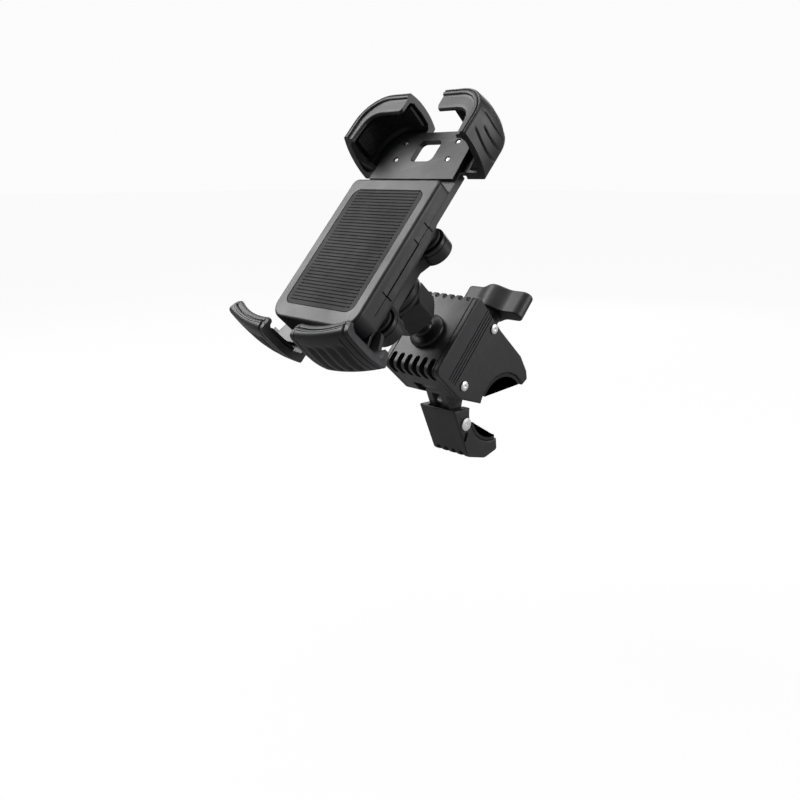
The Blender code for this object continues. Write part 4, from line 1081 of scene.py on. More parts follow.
@dataclass
class LowerJaw(HandlebarClamp):
    """Swinging jaw under the bar, the lever that pulls it and the barrel nut in the lever."""

    width: float = 28.0
    lean: float = 24.1
    skin_depth: float = 1.3
    boss: float = 4.0
    lever_half: float = 8.2
    rivet_head: float = 3.9
    jaw_vents: int = 4
    tip: float = 217.0
    jaw_throat: float = 325.5
    jaw_steps: int = 36
    plumb: Flat = (-0.74, -0.67)

    def directions(self) -> tuple[Vector, Vector]:
        """Directions of the front face: up along it, and outwards from it."""
        lean = math.radians(self.lean)
        up = Vector((math.sin(lean), math.cos(lean)))
        return up, Vector((-math.cos(lean), math.sin(lean)))

    def jaw(self) -> bpy.types.Object:
        """Two ears, a thin front wall and a vented lower edge."""
        lv = self.levels
        up, out = self.directions()
        pivot = Vector(lv.jaw_pin)
        reach = self.boss + 0.4
        face = pivot + out * (reach + self.skin_depth)
        tip, throat, steps = self.tip, self.jaw_throat, self.jaw_steps
        corners = [tuple(face + up * 12.8), tuple(face - up * 20.6),
                   polar(lv.seat + 10.6, 239.3), polar(lv.seat + 7.2, 217.8)]
        corners += [polar(lv.seat, tip + (throat - tip) * step / steps)
                    for step in range(steps + 1)]
        outline = rounded(corners, [0.8, 4.0, 6.0, 2.0] + [0.0] * (steps + 1))
        jaw = prism(Axis.X, outline, -self.width / 2, self.width / 2, 0.9, 0.9)
        slot_half = self.lever_half + GAP
        far = 26.0
        slot = prism(Axis.X, [tuple(pivot + out * reach), tuple(pivot + out * reach + up * far),
                              tuple(pivot - out * far + up * far), tuple(pivot - out * far)],
                     -slot_half, slot_half)
        eye = bore(Axis.X, tuple(pivot), reach, -slot_half + 0.001, slot_half - 0.001)
        vents = self.vents(tuple(face - up * 21.5 - out * 1.0), 4.6, self.jaw_vents)
        down = Vector(self.plumb)
        across = Vector((-down.y, down.x))
        corners = [pivot + down * 5.4 + across * 2.9, pivot + down * 5.4 - across * 2.9,
                   pivot + down * 12.2]
        recess = rounded([tuple(corner) for corner in corners], [0.7] * 3, 4)
        edge = self.width / 2
        recesses = [prism(Axis.X, recess, edge - 1.2, edge + 2.0),
                    prism(Axis.X, recess, -edge - 2.0, -edge + 1.2)]
        cut(jaw, slot, eye, bore(Axis.X, tuple(pivot), self.pin_radius + GAP, -lv.half, lv.half),
            *vents, *recesses)
        return self.eased(jaw, 0.25)

    def build(self) -> None:
        """Build and dress the jaw and what moves it."""
        lv = self.levels
        bench = self.bench
        bench.finish(self.jaw(), "jaw_under_bar", "jaw", Coat.HOUSING, "lower_jaw")
        bench.finish(self.bar_pad(221.0, 296.0, self.width / 2 - 0.5), "bar_grip_lower", "jaw",
                     Coat.RUBBER, "lower_bar_pad")
        bench.finish(self.softened("rocker", 0.3), "jaw_lever", "rocker", Coat.LEVER, "rocker")
        bench.finish(self.rivet(lv.jaw_pin, self.width / 2 + GAP, self.rivet_head), "jaw_rivet",
                     "rocker", Coat.STEEL, "jaw_pin")
        bench.finish(self.softened("barrel_nut", 0.25), "cross_barrel", "nut", Coat.STEEL,
                     "barrel_nut")


@dataclass
class ClosingScrew(Part):
    """Wing knob and the long screw that it turns."""

    span: float = 48.0
    neck: float = 12.6
    depth: float = 16.0
    hub: float = 9.5
    wing: float = 4.6
    shank: float = 2.5
    flare: float = 13.0
    thread_pitch: float = 0.9

    def outline(self) -> Outline:
        """View along the screw: a round hub with concave flutes into two wings."""
        flare = self.flare
        tip = self.span / 2 - self.wing
        steps = 36
        side = []
        for step in range(steps + 1):
            across = flare - 2 * flare * step / steps
            swell = (self.hub - self.wing) * (1 + math.cos(math.pi * across / flare)) / 2
            side.append((across, self.wing + swell))
        right = arc((tip, 0.0), self.wing, -90.0, 90.0, 16)
        left = arc((-tip, 0.0), self.wing, 90.0, 270.0, 16)
        outline = right + side + left + [(-across, -height) for across, height in side]
        return [(across, height + self.levels.screw_z) for across, height in outline]

    def knob(self) -> bpy.types.Object:
        """Wings with rounded rims, a grooved neck and a pocket for the screw's head."""
        low = self.levels.back_top + 1.8
        shoulder = low + self.neck
        high = shoulder + self.depth
        centre = (0.0, self.levels.screw_z)
        outline = self.outline()
        wings = prism(Axis.Y, outline, shoulder, high, 0.8, 1.6, 5)
        neck = lathe(Axis.Y, centre, [(0.0, low), (7.0, low), (7.4, low + 0.2), (7.5, low + 0.6),
                                      (7.5, low + 4.0), (7.1, low + 4.4), (7.1, low + 5.0),
                                      (7.5, low + 5.4), (7.5, low + 8.6), (7.1, low + 9.0),
                                      (7.1, low + 9.6), (7.5, low + 10.0), (7.5, shoulder + 2.0),
                                      (0.0, shoulder + 2.0)])
        knob = join(wings, neck)
        tools = [bore(Axis.Y, centre, self.shank + GAP, low - 1.0, high + 1.0),
                 bore(Axis.Y, centre, 5.0, high - 6.0, high + 1.0)]
        return self.eased(cut(knob, *tools), 0.25)

    def screw(self) -> bpy.types.Object:
        """Hexagon head, shank and wound thread."""
        lv = self.levels
        centre = (0.0, lv.screw_z)
        seat = lv.back_top + 1.8 + self.neck + self.depth - 6.0 + GAP
        end = lv.nut_pivot[0] - 11.0
        thread_top = lv.back_top - 2.0
        head = prism(Axis.Y, arc(centre, 4.5, *HEXAGON), seat, seat + 3.5, 0.0, 0.4)
        core = self.shank - 0.35
        shank = lathe(Axis.Y, centre, [(0.0, end), (core - 0.5, end), (core, end + 0.6),
                                       (core, thread_top), (self.shank, thread_top + 0.4),
                                       (self.shank, seat + 1.0), (0.0, seat + 1.0)], 40)
        wound = thread_top - end - 1.0
        thread = self.bench.repeated(self.bench.repeat.coil, [], Coat.STEEL, None,
                                     Turns=wound / self.thread_pitch, Radius=core,
                                     Height=wound, Wire=0.3)
        thread.data.transform(Matrix.Translation((0.0, end + 0.6, lv.screw_z))
                              @ Matrix.Rotation(math.radians(-90.0), 4, "X"))
        return gathered(head, shank, thread)

    def build(self) -> None:
        """Build and dress the knob and its screw."""
        self.bench.finish(self.knob(), "knob_with_wings", "knob", Coat.HOUSING, "wing_knob")
        self.bench.finish(self.screw(), "closing_screw", "knob", Coat.STEEL, "clamp_screw")


# ---------------------------------------------------------------- ball joint and dampers

@dataclass
class BallJoint(Part):
    """Ball stud, socket and lock nut."""

    ball: float = 8.0
    stem: float = 5.0
    neck: float = 3.9
    flange: float = 11.0
    liner: float = 1.0
    socket_wall: float = 1.6
    socket_flange: float = 15.0
    lip_angle: float = 62.0
    nut_flats: float = 26.0
    nut_length: float = 16.0

    def sphere(self, radius: float, start: float, end: float, steps: int) -> Profile:
        """Section of a ball, angles in degrees from its underside."""
        points = []
        for step in range(steps + 1):
            turn = math.radians(start + (end - start) * step / steps)
            points.append((radius * math.sin(turn),
                           self.levels.ball_z - radius * math.cos(turn)))
        return points

    def stud(self) -> bpy.types.Object:
        """Flange with a rolled edge, polished stem and ball."""
        lv = self.levels
        low = lv.front + GAP
        end = lv.front - 4.1
        profile = [(2.2, end), (4.0, end), (4.0, low), (self.flange - 0.3, low),
                   (self.flange, low + 0.3), (self.flange, low + 1.7),
                   (self.flange - 0.35, low + 2.3), (self.flange - 1.0, low + 2.8),
                   (self.flange - 2.0, low + 3.2), (self.stem + 2.6, low + 3.75),
                   (self.stem + 1.4, low + 4.1), (self.stem + 0.6, low + 4.6),
                   (self.stem + 0.15, low + 5.2), (self.stem, low + 6.0),
                   (self.stem, lv.ball_z - 12.4), (self.stem - 0.3, lv.ball_z - 11.6),
                   (self.neck + 0.2, lv.ball_z - 9.9), (self.neck, lv.ball_z - 9.2)]
        angle = math.degrees(math.asin(self.neck / self.ball))
        profile += self.sphere(self.ball, angle, 168.0, 24)
        profile += [(0.0, profile[-1][1]), (0.0, low + 8.0), (2.2, low + 8.0)]
        return lathe(Axis.Z, (0.0, lv.ball_y), profile, 96)

    def socket(self) -> bpy.types.Object:
        """Cup with its screw flange."""
        lv = self.levels
        hollow = self.ball + self.liner + 2 * GAP
        outer = hollow + self.socket_wall
        back = lv.ball_z + self.ball + self.liner
        top = back + 7.0
        wide = self.socket_flange
        cup = self.sphere(hollow, 180.0, self.lip_angle, 20)
        cup[0] = (0.0, cup[0][1])
        lip = cup[-1][1]
        profile = cup + [(outer, lip + 0.2), (outer, back - 0.5), (outer + 0.5, back),
                         (wide - 1.0, back), (wide - 0.3, back + 0.3), (wide, back + 1.0),
                         (wide, back + 2.6), (wide - 0.5, back + 3.0), (wide - 0.5, back + 3.8),
                         (wide, back + 4.2), (wide, top - 0.4), (wide - 0.4, top), (0.0, top)]
        return lathe(Axis.Z, (0.0, lv.ball_y), profile, 96)

    def nut(self) -> bpy.types.Object:
        """Hexagonal nut with turned ends and a drawn-in mouth."""
        lv = self.levels
        low = lv.ball_z - self.ball
        high = low + self.nut_length
        corner = self.nut_flats / 2 / math.cos(math.pi / 6)
        hollow = self.ball + self.liner + 2 * GAP
        room = hollow + self.socket_wall + GAP
        mouth = room - 2.1
        centre = (0.0, lv.ball_y)
        body = prism(Axis.Z, arc(centre, corner, *HEXAGON), low, high)
        shape = lathe(Axis.Z, centre, [(0.0, low - 1.0), (corner - 1.8, low - 0.01),
                                       (corner - 0.5, low + 1.0), (corner + 1.0, low + 3.0),
                                       (corner + 1.0, high - 3.0), (corner - 0.5, high - 1.0),
                                       (corner - 1.8, high + 0.01), (0.0, high + 1.0)], 96)
        nut = combine(body, [shape], "INTERSECT")
        lip = lv.ball_z - hollow * math.cos(math.radians(self.lip_angle)) - 2 * GAP
        hole = lathe(Axis.Z, centre, [(0.0, low - 3.0), (mouth + 0.6, low - 3.0),
                                      (mouth, lip - 1.0), (room, lip), (room, high + 3.0),
                                      (0.0, high + 3.0)], 96)
        return self.eased(cut(nut, hole), 0.45, 25.0)

    def build(self) -> None:
        """Build and dress the ball joint."""
        bench = self.bench
        bench.finish(self.stud(), "stud_with_ball", "stud", Coat.ANODISED, "ball_stud")
        bench.finish(self.socket(), "socket_cup", "cradle", Coat.ANODISED, "ball_socket")
        bench.finish(self.nut(), "joint_lock_nut", "lock_nut", Coat.DARK, "lock_nut", sharp=30.0)
        self.dress(Coat.STEEL, "stud_washer", "stud_screw")
        self.dress(Coat.ACETAL, "ball_liner")


@dataclass
class DamperPlate(Part):
    """Plate on the socket, with a rubber bobbin on each of its four lobes."""

    back: float = 104.3
    front: float = 114.2
    width: float = 29.0
    across: float = 36.0
    along: float = 52.0
    lobe: float = 9.0
    damper: float = 7.4
    damper_back: float = 114.8
    damper_height: float = 6.4
    screw: float = 1.7
    socket_screw_x: float = 12.2

    def places(self) -> list[Flat]:
        """Centres of the four dampers."""
        return [(side * self.across / 2, self.levels.ball_y + end * self.along / 2)
                for side in (-1, 1) for end in (-1, 1)]

    def plate(self) -> bpy.types.Object:
        """Plate with round lobes joined by two crossing bars."""
        lv = self.levels
        half = self.width / 2
        waist = self.along / 2 - 4.0
        places = self.places()
        plate = prism(Axis.Z, rectangle((-half, lv.ball_y - waist), (half, lv.ball_y + waist), 3.0),
                      self.back, self.front, 0.5, 0.5)
        lobes = [prism(Axis.Z, arc(place, self.lobe, 0.0, 354.0, 59), self.back + 0.4,
                       self.front + GAP, 0.7, 0.7) for place in places]
        bars = [prism(Axis.Z, hull(arc(one, 5.6, 0.0, 352.5, 47) + arc(two, 5.6, 0.0, 352.5, 47)),
                      self.back + 0.7, self.front - 0.5)
                for one, two in (places[0::3], places[1:3])]
        join(plate, *bars, *lobes)
        tools = [bore(Axis.Z, place, 3.8, self.back - 1.0, self.back + 2.6) for place in places]
        tools += [bore(Axis.Z, (side * self.socket_screw_x, lv.ball_y), 3.1, self.front - 2.2,
                       self.front + 2.0) for side in (-1, 1)]
        for place in places:
            ring = [(self.lobe - 0.45, self.front - 2.6), (self.lobe + 2.0, self.front - 2.6),
                    (self.lobe + 2.0, self.front - 2.1), (self.lobe - 0.45, self.front - 2.1)]
            tools.append(lathe(Axis.Z, place, ring, 60))
        return cut(plate, *tools)

    def bobbin(self, place: Flat) -> bpy.types.Object:
        """Rubber bobbin with a round waist."""
        low = self.damper_back
        tall = self.damper_height
        full = self.damper
        hole = self.screw + GAP
        waist = 1.8
        rim = [(full - 0.35, 0.0), (full - 0.1, 0.1), (full, 0.35), (full, 0.24 * tall)]
        for step in range(13):
            share = step / 12
            level = (0.26 + 0.48 * share) * tall
            rim.append((full - waist * math.sin(math.pi * share) ** 0.8, level))
        rim += [(full, 0.76 * tall), (full, tall - 0.35), (full - 0.1, tall - 0.1),
                (full - 0.35, tall)]
        profile = [(hole, low)] + [(radius, low + rise) for radius, rise in rim]
        return lathe(Axis.Z, place, profile + [(hole, low + tall)], 56)

    def build(self) -> None:
        """Build and dress the plate and its dampers."""
        self.bench.finish(self.plate(), "plate_with_lobes", "cradle", Coat.DARK, "damper_plate")
        for number, place in enumerate(self.places(), 1):
            self.bench.finish(self.bobbin(place), f"rubber_bobbin_{number}", "cradle", Coat.RUBBER,
                              f"damper_{number}")


# ---------------------------------------------------------------- cradle

@dataclass
class Cradle(Part):
    """Shells behind the phone, the pad, the release buttons and the sliding carrier."""

    cover_back: float = 124.5
    cover_front: float = 126.7
    back: float = 127.0
    seam: float = 131.5
    front: float = 139.7
    half: float = 32.5
    bottom: float = -39.0
    top: float = 53.0
    skin_depth: float = 2.2
    slider_bottom: float = 29.0
    button_top: float = 18.5
    button_bottom: float = -13.5
    phone_bottom: float = -49.6
    side_line: float = 44.5
    boss: float = 3.0
    boss_radius: float = 7.8
    pad_depth: float = 0.9

    def cover(self, places: list[Flat]) -> bpy.types.Object:
        """Back cover with damper bosses and a row of grooves cut across its back."""
        wide = self.half - 0.6
        foot = self.side_line - 10.5
        low = self.phone_bottom + 4.0
        right = [(foot, low), (foot, low + 5.0), (wide, self.bottom + 5.0),
                 (wide, self.slider_bottom - 2.0), (wide - 4.5, self.top - 8.0)]
        left = [(-across, level) for across, level in right[::-1]]
        outline = rounded(right + left, [2.0, 2.0, 2.0, 2.0, 4.0, 4.0, 2.0, 2.0, 2.0, 2.0])
        cover = prism(Axis.Z, outline, self.cover_back, self.cover_front, 0.6, 0.2)
        bosses = [prism(Axis.Z, arc(place, self.boss_radius, 0.0, 354.0, 59),
                        self.cover_back - self.boss, self.cover_front - 0.7, 0.6)
                  for place in places]
        join(cover, *bosses)
        groove = prism(Axis.Y, [(-0.5, -1.0), (0.5, -1.0), (0.5, 0.6), (-0.5, 0.6)], -15.0, 15.0)
        groove.data.transform(Matrix.Rotation(math.radians(90.0), 4, "Z"))
        grooves = self.bench.repeated(self.bench.repeat.row, [(0.0, 0.0, 0.0)], Coat.DARK, groove,
                                      Count=9, Start=(0.0, -8.7, self.cover_back),
                                      Step=(0.0, 4.0, 0.0))
        return cut(cover, grooves)

    def shell(self) -> bpy.types.Object:
        """Front shell: a shallow tray with a soft front edge and slots in its sides."""
        corners = [(-self.half, self.bottom), (self.half, self.bottom),
                   (self.half, self.top), (-self.half, self.top)]
        outline = rounded(corners, [10.0, 10.0, 4.0, 4.0], 16)
        shell = prism(Axis.Z, outline, self.back, self.front, 0.3, 1.8, 5)
        hollow = prism(Axis.Z, inset(outline, self.skin_depth), self.back - 1.0,
                       self.front - self.skin_depth)
        outside = self.half + 3.0
        tools = [hollow, block((-outside, self.slider_bottom, self.back - 2.0),
                               (outside, self.top + 5.0, self.seam)),
                 prism(Axis.Z, self.pad_outline(GAP), self.front - self.pad_depth,
                       self.front + 2.0)]
        for side in (-1, 1):
            near, far = sorted((side * (self.half - 4.0), side * outside))
            tools.append(block((near, self.button_bottom, self.back - 2.0),
                               (far, self.button_top, self.seam)))
            near, far = sorted((side * (self.half - 0.7), side * outside))
            for level in (self.slider_bottom, self.button_top, self.button_bottom):
                tools.append(block((near, level - 0.4, self.seam - 1.0),
                                   (far, level + 0.4, self.seam + 3.6)))
            tools.append(block((near, self.bottom + 14.0, self.seam - 0.4),
                               (far, self.slider_bottom, self.seam)))
        return self.eased(cut(shell, *tools), 0.2)

    def pad_outline(self, margin: float) -> Outline:
        """Outline of the rubber sheet on the front, or of its recess."""
        half = self.half - 6.5 + margin
        return rectangle((-half, self.bottom + 9.0 - margin), (half, self.top - 8.0 + margin),
                         5.0 + margin)

    def phone_pad(self) -> bpy.types.Object:
        """Rubber sheet with low grip ribs."""
        low = self.front - self.pad_depth + GAP
        high = self.front - 0.1
        sheet = prism(Axis.Z, self.pad_outline(0.0), low, high, 0.0, 0.25)
        half = self.half - 10.0
        rib = prism(Axis.X, arc((0.0, 0.0), 0.4, 0.0, 180.0, 8), -half, half)
        ribs = self.bench.repeated(self.bench.repeat.row, [(0.0, 0.0, 0.0)], Coat.RUBBER, rib,
                                   Count=37, Start=(0.0, self.bottom + 12.0, high - 0.01),
                                   Step=(0.0, 2.0, 0.0))
        return gathered(sheet, ribs)

    def button(self) -> bpy.types.Object:
        """Right release button."""
        return self.softened("side_button_right", 0.25)

    def spring_ends(self, side: Side) -> tuple[Vector, Vector]:
        """Seated end and pushed end of a return spring, in metres."""
        place = self.bench.frame
        low, high = place.extent(f"button_spring_{side.word}")
        middle = (low + high) / 2
        ends = sorted((low.x, high.x), key=abs)
        return tuple(place.to_world @ Vector((end, middle.y, middle.z)) for end in ends)

    def spring(self) -> bpy.types.Object:
        """Right return spring."""
        low, high = self.bench.frame.extent("button_spring_right")
        wire = 0.3
        coil = self.bench.repeated(self.bench.repeat.coil, [], Coat.STEEL, None, Turns=6.5,
                                   Radius=(high.z - low.z) / 2 - wire,
                                   Height=high.x - low.x - 2 * wire, Wire=wire)
        middle = (low + high) / 2
        coil.data.transform(Matrix.Translation((low.x + wire, middle.y, middle.z))
                            @ Matrix.Rotation(math.radians(90.0), 4, "Y"))
        return coil

    def build(self, places: list[Flat]) -> None:
        """Build and dress the cradle.

        Args:
            places: Centres of the dampers, where the cover has its bosses.
        """
        bench = self.bench
        bench.finish(self.cover(places), "back_cover", "cradle", Coat.DARK, "cradle_cover")
        bench.finish(self.shell(), "front_shell", "cradle", Coat.HOUSING, "cradle_shell")
        bench.finish(self.phone_pad(), "ribbed_phone_pad", "cradle", Coat.RUBBER, "phone_pad")
        bench.finish(self.softened("upper_slider", 0.2), "sliding_carrier", "upper_jaw",
                     Coat.HOUSING, "upper_slider")
        right, spring = self.button(), self.spring()
        for side in Side:
            bench.finish(mirrored(right, side), f"release_button_{side.word}",
                         f"button_{side.word}", Coat.HOUSING, f"side_button_{side.word}")
            bench.finish(mirrored(spring, side), f"return_spring_{side.word}", "cradle",
                         Coat.STEEL, f"button_spring_{side.word}",
                         give=(f"button_{side.word}", *self.spring_ends(side)))
        discard(right, spring)


# ---------------------------------------------------------------- claws

@dataclass(frozen=True)
class Station:
    """A place on a claw's line, the outward direction there, and how far along it is."""

    place: Vector
    normal: Vector
    run: float
    share: float


class Face(Enum):
    """Part of a claw's section that grooves may be cut into."""

    PLAIN = "plain"
    WALL = "wall"
    LIP = "lip"


Section = list[tuple[float, float, Face]]


@dataclass
class Claw(Part):
    """What the upper and the lower claws share: a lipped, crowned wall swept along a line."""

    front: float = 152.8
    lip_thickness: float = 2.4
    wall: float = 3.8
    bulge: float = 2.2
    inner_end: float = 13.0
    side_line: float = 44.5
    step: float = 1.35
    lean_reach: float = 15.0
    crown_steps: int = 28
    spacing: float = 0.3
    rib_depth: float = 0.35
    rib_pitch: float = 2.0
    rib_width: float = 0.8
    back: float = 121.0

    def section(self, back: float, lip: float, ledge: float, plate: float) -> Section:
        """Section of a claw.

        Args:
            back: Height of its back.
            lip: Reach of the lip over the phone.
            ledge: Reach of the ledge behind the phone.
            plate: Thickness of the ledge.

        Returns:
            Its points, from the lip's edge over the rim and the wall to the ledge and back.
        """
        top = self.front
        bulge = self.bulge
        depth = top - back
        rise = self.step
        edge = [(-lip, top - rise - 1.1), (-lip + 0.12, top - rise - 0.55),
                (-lip + 0.5, top - rise - 0.15), (-lip + 1.2, top - rise)]
        ring = [(outward, height, Face.PLAIN) for outward, height in edge]
        flat = 6
        for step in range(1, flat + 1):
            share = step / flat
            ring.append((-lip + 1.2 + (lip - 1.2 - 4.3) * share, top - rise + 0.15 * share,
                         Face.LIP))
        rim = [(-4.05, top - rise + 0.25), (-3.8, top - 0.5), (-3.5, top - 0.13), (-3.0, top),
               (-2.3, top), (-2.0, top - 0.12), (-1.8, top - 0.8), (-1.4, top - 0.85),
               (-1.2, top - 0.22), (-0.8, top - 0.15), (-0.25, top - 0.55), (0.05, top - 1.1)]
        ring += [(outward, height, Face.PLAIN) for outward, height in rim]
        high, low = top - 1.7, back + 1.2
        middle, half = top - 0.52 * depth, (high - low) / 2
        for step in range(self.crown_steps + 1):
            height = high + (low - high) * step / self.crown_steps
            reach = min(1.0, abs(height - middle) / half)
            ring.append((0.2 + (bulge - 0.2) * (1.0 - reach ** 2.2), height, Face.WALL))
        return ring + self.inside(back, lip, ledge, plate)

    def inside(self, back: float, lip: float, ledge: float, plate: float) -> Section:
        """Back edge, ledge and hollow side of a section, up to the underside of the lip."""
        bulge, wall = self.bulge, self.wall
        middle = self.front - 0.52 * (self.front - back)
        under = self.front - 1.0 - self.lip_thickness
        points = [(0.0, back + 0.5), (-0.5, back + 0.1), (-1.4, back), (-ledge, back),
                  (-ledge, back + plate), (-wall - 0.4, back + plate),
                  (bulge - wall - 0.6, back + plate + 2.2), (bulge - wall, middle),
                  (bulge - wall - 0.6, under - 2.6), (-wall - 0.4, under - 0.2), (-lip, under)]
        return [(outward, height, Face.PLAIN) for outward, height in points]

    def pad_section(self, back: float) -> Section:
        """Section of the rubber strip inside a claw."""
        high = self.front - 6.8
        low = back + 7.0
        outer = self.bulge - self.wall - 1.2
        return [(outer - 1.2, low, Face.WALL), (outer - 1.2, high, Face.WALL),
                (outer, high, Face.PLAIN), (outer, low, Face.PLAIN)]

    def sweep(self, stations: list[Station], section: Callable[[float], Section],
              relief: Callable[[float, float, Face], float],
              shear: float = 0.0) -> bpy.types.Object:
        """Skin of a section along a line.

        Args:
            stations: Where the section goes.
            section: Gives the section at a share of the way.
            relief: Gives the depth of the grooves at a run and a height.
            shear: Lean of the outer end, in millimetres per millimetre of depth.

        Returns:
            The swept shape.
        """
        rings = []
        length = stations[-1].run
        for station in stations:
            along = Vector((station.normal.y, -station.normal.x))
            lean = max(0.0, (station.run - length) / self.lean_reach + 1.0)
            ring = []
            for outward, height, face in section(station.share):
                depth = 0.0 if face is Face.PLAIN else relief(station.run, height, face)
                spot = station.place + along * (self.front - height) * shear * lean
                spot = spot + station.normal * (outward - (depth if face is Face.WALL else 0.0))
                drop = depth if face is Face.LIP else 0.0
                ring.append(Vector((spot.x, spot.y, height - drop)))
            rings.append(ring)
        return skin(rings)

    def lining(self, stations: list[Station]) -> bpy.types.Object:
        """Ribbed rubber strip inside a claw."""
        depth, pitch, width = self.rib_depth, self.rib_pitch, self.rib_width
        return self.sweep(
            stations, lambda share: self.pad_section(self.back),
            lambda run, height, face: depth - depth * self.groove(run % pitch, pitch / 2, width))

    @staticmethod
    def groove(run: float, centre: float, width: float) -> float:
        """Round groove of unit depth at a place along the run."""
        reach = abs(run - centre) / width
        return math.cos(reach * math.pi / 2) ** 2 if reach < 1.0 else 0.0


@dataclass
class UpperClaws(Claw):
    """The two hooked corners on the sliding carrier."""

    line: float = 101.4
    back: float = 125.5
    plate: float = 4.0
    corner: float = 19.0
    lip: float = 12.5
    side_lip: float = 7.0
    leg: float = 35.0
    crescents: int = 8
    crescent_pitch: float = 5.3

    def path(self, start: float, end: float) -> list[Station]:
        """Line of the right claw: along the phone's top, round the corner, down its side."""
        centre = Vector((self.side_line - self.corner, self.line - self.corner))
        straight = centre.x - start
        bend = math.pi / 2 * self.corner
        length = straight + bend + centre.y - end
        count = int(length / self.spacing)
        stations = []
        for step in range(count + 1):
            run = length * step / count
            if run < straight:
                place, turn = Vector((start + run, self.line)), math.pi / 2
                share = 0.3 * run / straight
            elif run < straight + bend:
                turn = math.pi / 2 - (run - straight) / self.corner
                place = centre + Vector((math.cos(turn), math.sin(turn))) * self.corner
                share = 0.3 + 0.5 * (run - straight) / bend
            else:
                turn, rest = 0.0, run - straight - bend
                place = Vector((self.side_line, centre.y - rest))
                share = 0.8 + 0.2 * rest / (length - straight - bend)
            normal = Vector((math.cos(turn), math.sin(turn)))
            stations.append(Station(place, normal, run, share))
        return stations

    def claw(self) -> bpy.types.Object:
        """Hooked corner with crescent grooves, its floor plate and its brace."""
        end = self.line - self.leg + 4.4
        stations = self.path(self.inner_end, end)
        length = stations[-1].run
        depth = self.front - self.back

        def section(share: float) -> Section:
            """Section with a lip that narrows down the side."""
            run = share * length
            lip = self.lip + (self.side_lip - self.lip) * smooth(share, 0.3, 1.0)
            corner = max(0.0, 2.0 - run)
            return self.section(self.back, lip - corner * corner / 2.0, 12.0, self.plate)

        def relief(run: float, height: float, face: Face) -> float:
            """Overlapping crescent ribs, and the line of the border band at the outer end."""
            if face is Face.LIP:
                return 0.0
            level = (self.front - height) / depth
            bow = 3.4 * (1.0 - (2.0 * level - 1.0) ** 2)
            last = length - 5.0
            total = 0.0
            for index in range(self.crescents):
                start = 0.10 if index % 2 == 0 else 0.24
                fade = smooth(level, start, start + 0.12) * (1.0 - smooth(level, 0.90, 0.97))
                centre = last - self.crescent_pitch * index - 3.2 + bow
                total += fade * self.groove(run, centre, 0.85)
                ahead = centre - run
                if 0.0 < ahead < self.crescent_pitch:
                    total += 0.35 * fade * (1.0 - ahead / self.crescent_pitch)
            return min(1.15, 1.05 * total)

        hook = self.sweep(stations, section, relief, 0.2)
        low = self.line - self.leg + 0.6
        floor = prism(Axis.Z, [(self.inner_end + 0.5, low), (self.side_line - 4.0, low),
                               (self.side_line - 4.0, self.line - self.corner),
                               (self.side_line - self.corner, self.line - 4.0),
                               (self.inner_end + 0.5, self.line - 4.0)],
                      self.back + 0.4, self.back + self.plate - 0.4, 0.3, 0.3)
        brace = prism(Axis.Y, [(self.side_line - 1.6, self.back + 12.0),
                               (self.side_line - 11.0, self.back + 3.0),
                               (self.side_line - 1.6, self.back + 3.0)], low + 1.0, low + 3.4)
        return gathered(hook, floor, brace)

    def build(self) -> None:
        """Build and dress both upper claws."""
        lining = self.lining(self.path(self.inner_end + 2.0, self.line - self.leg + 8.0))
        self.on_both_sides("upper_jaw", (self.claw(), "hooked_claw", Coat.CLAW, "upper_claw"),
                           (lining, "hook_lining", Coat.RUBBER, "upper_claw_pad"))


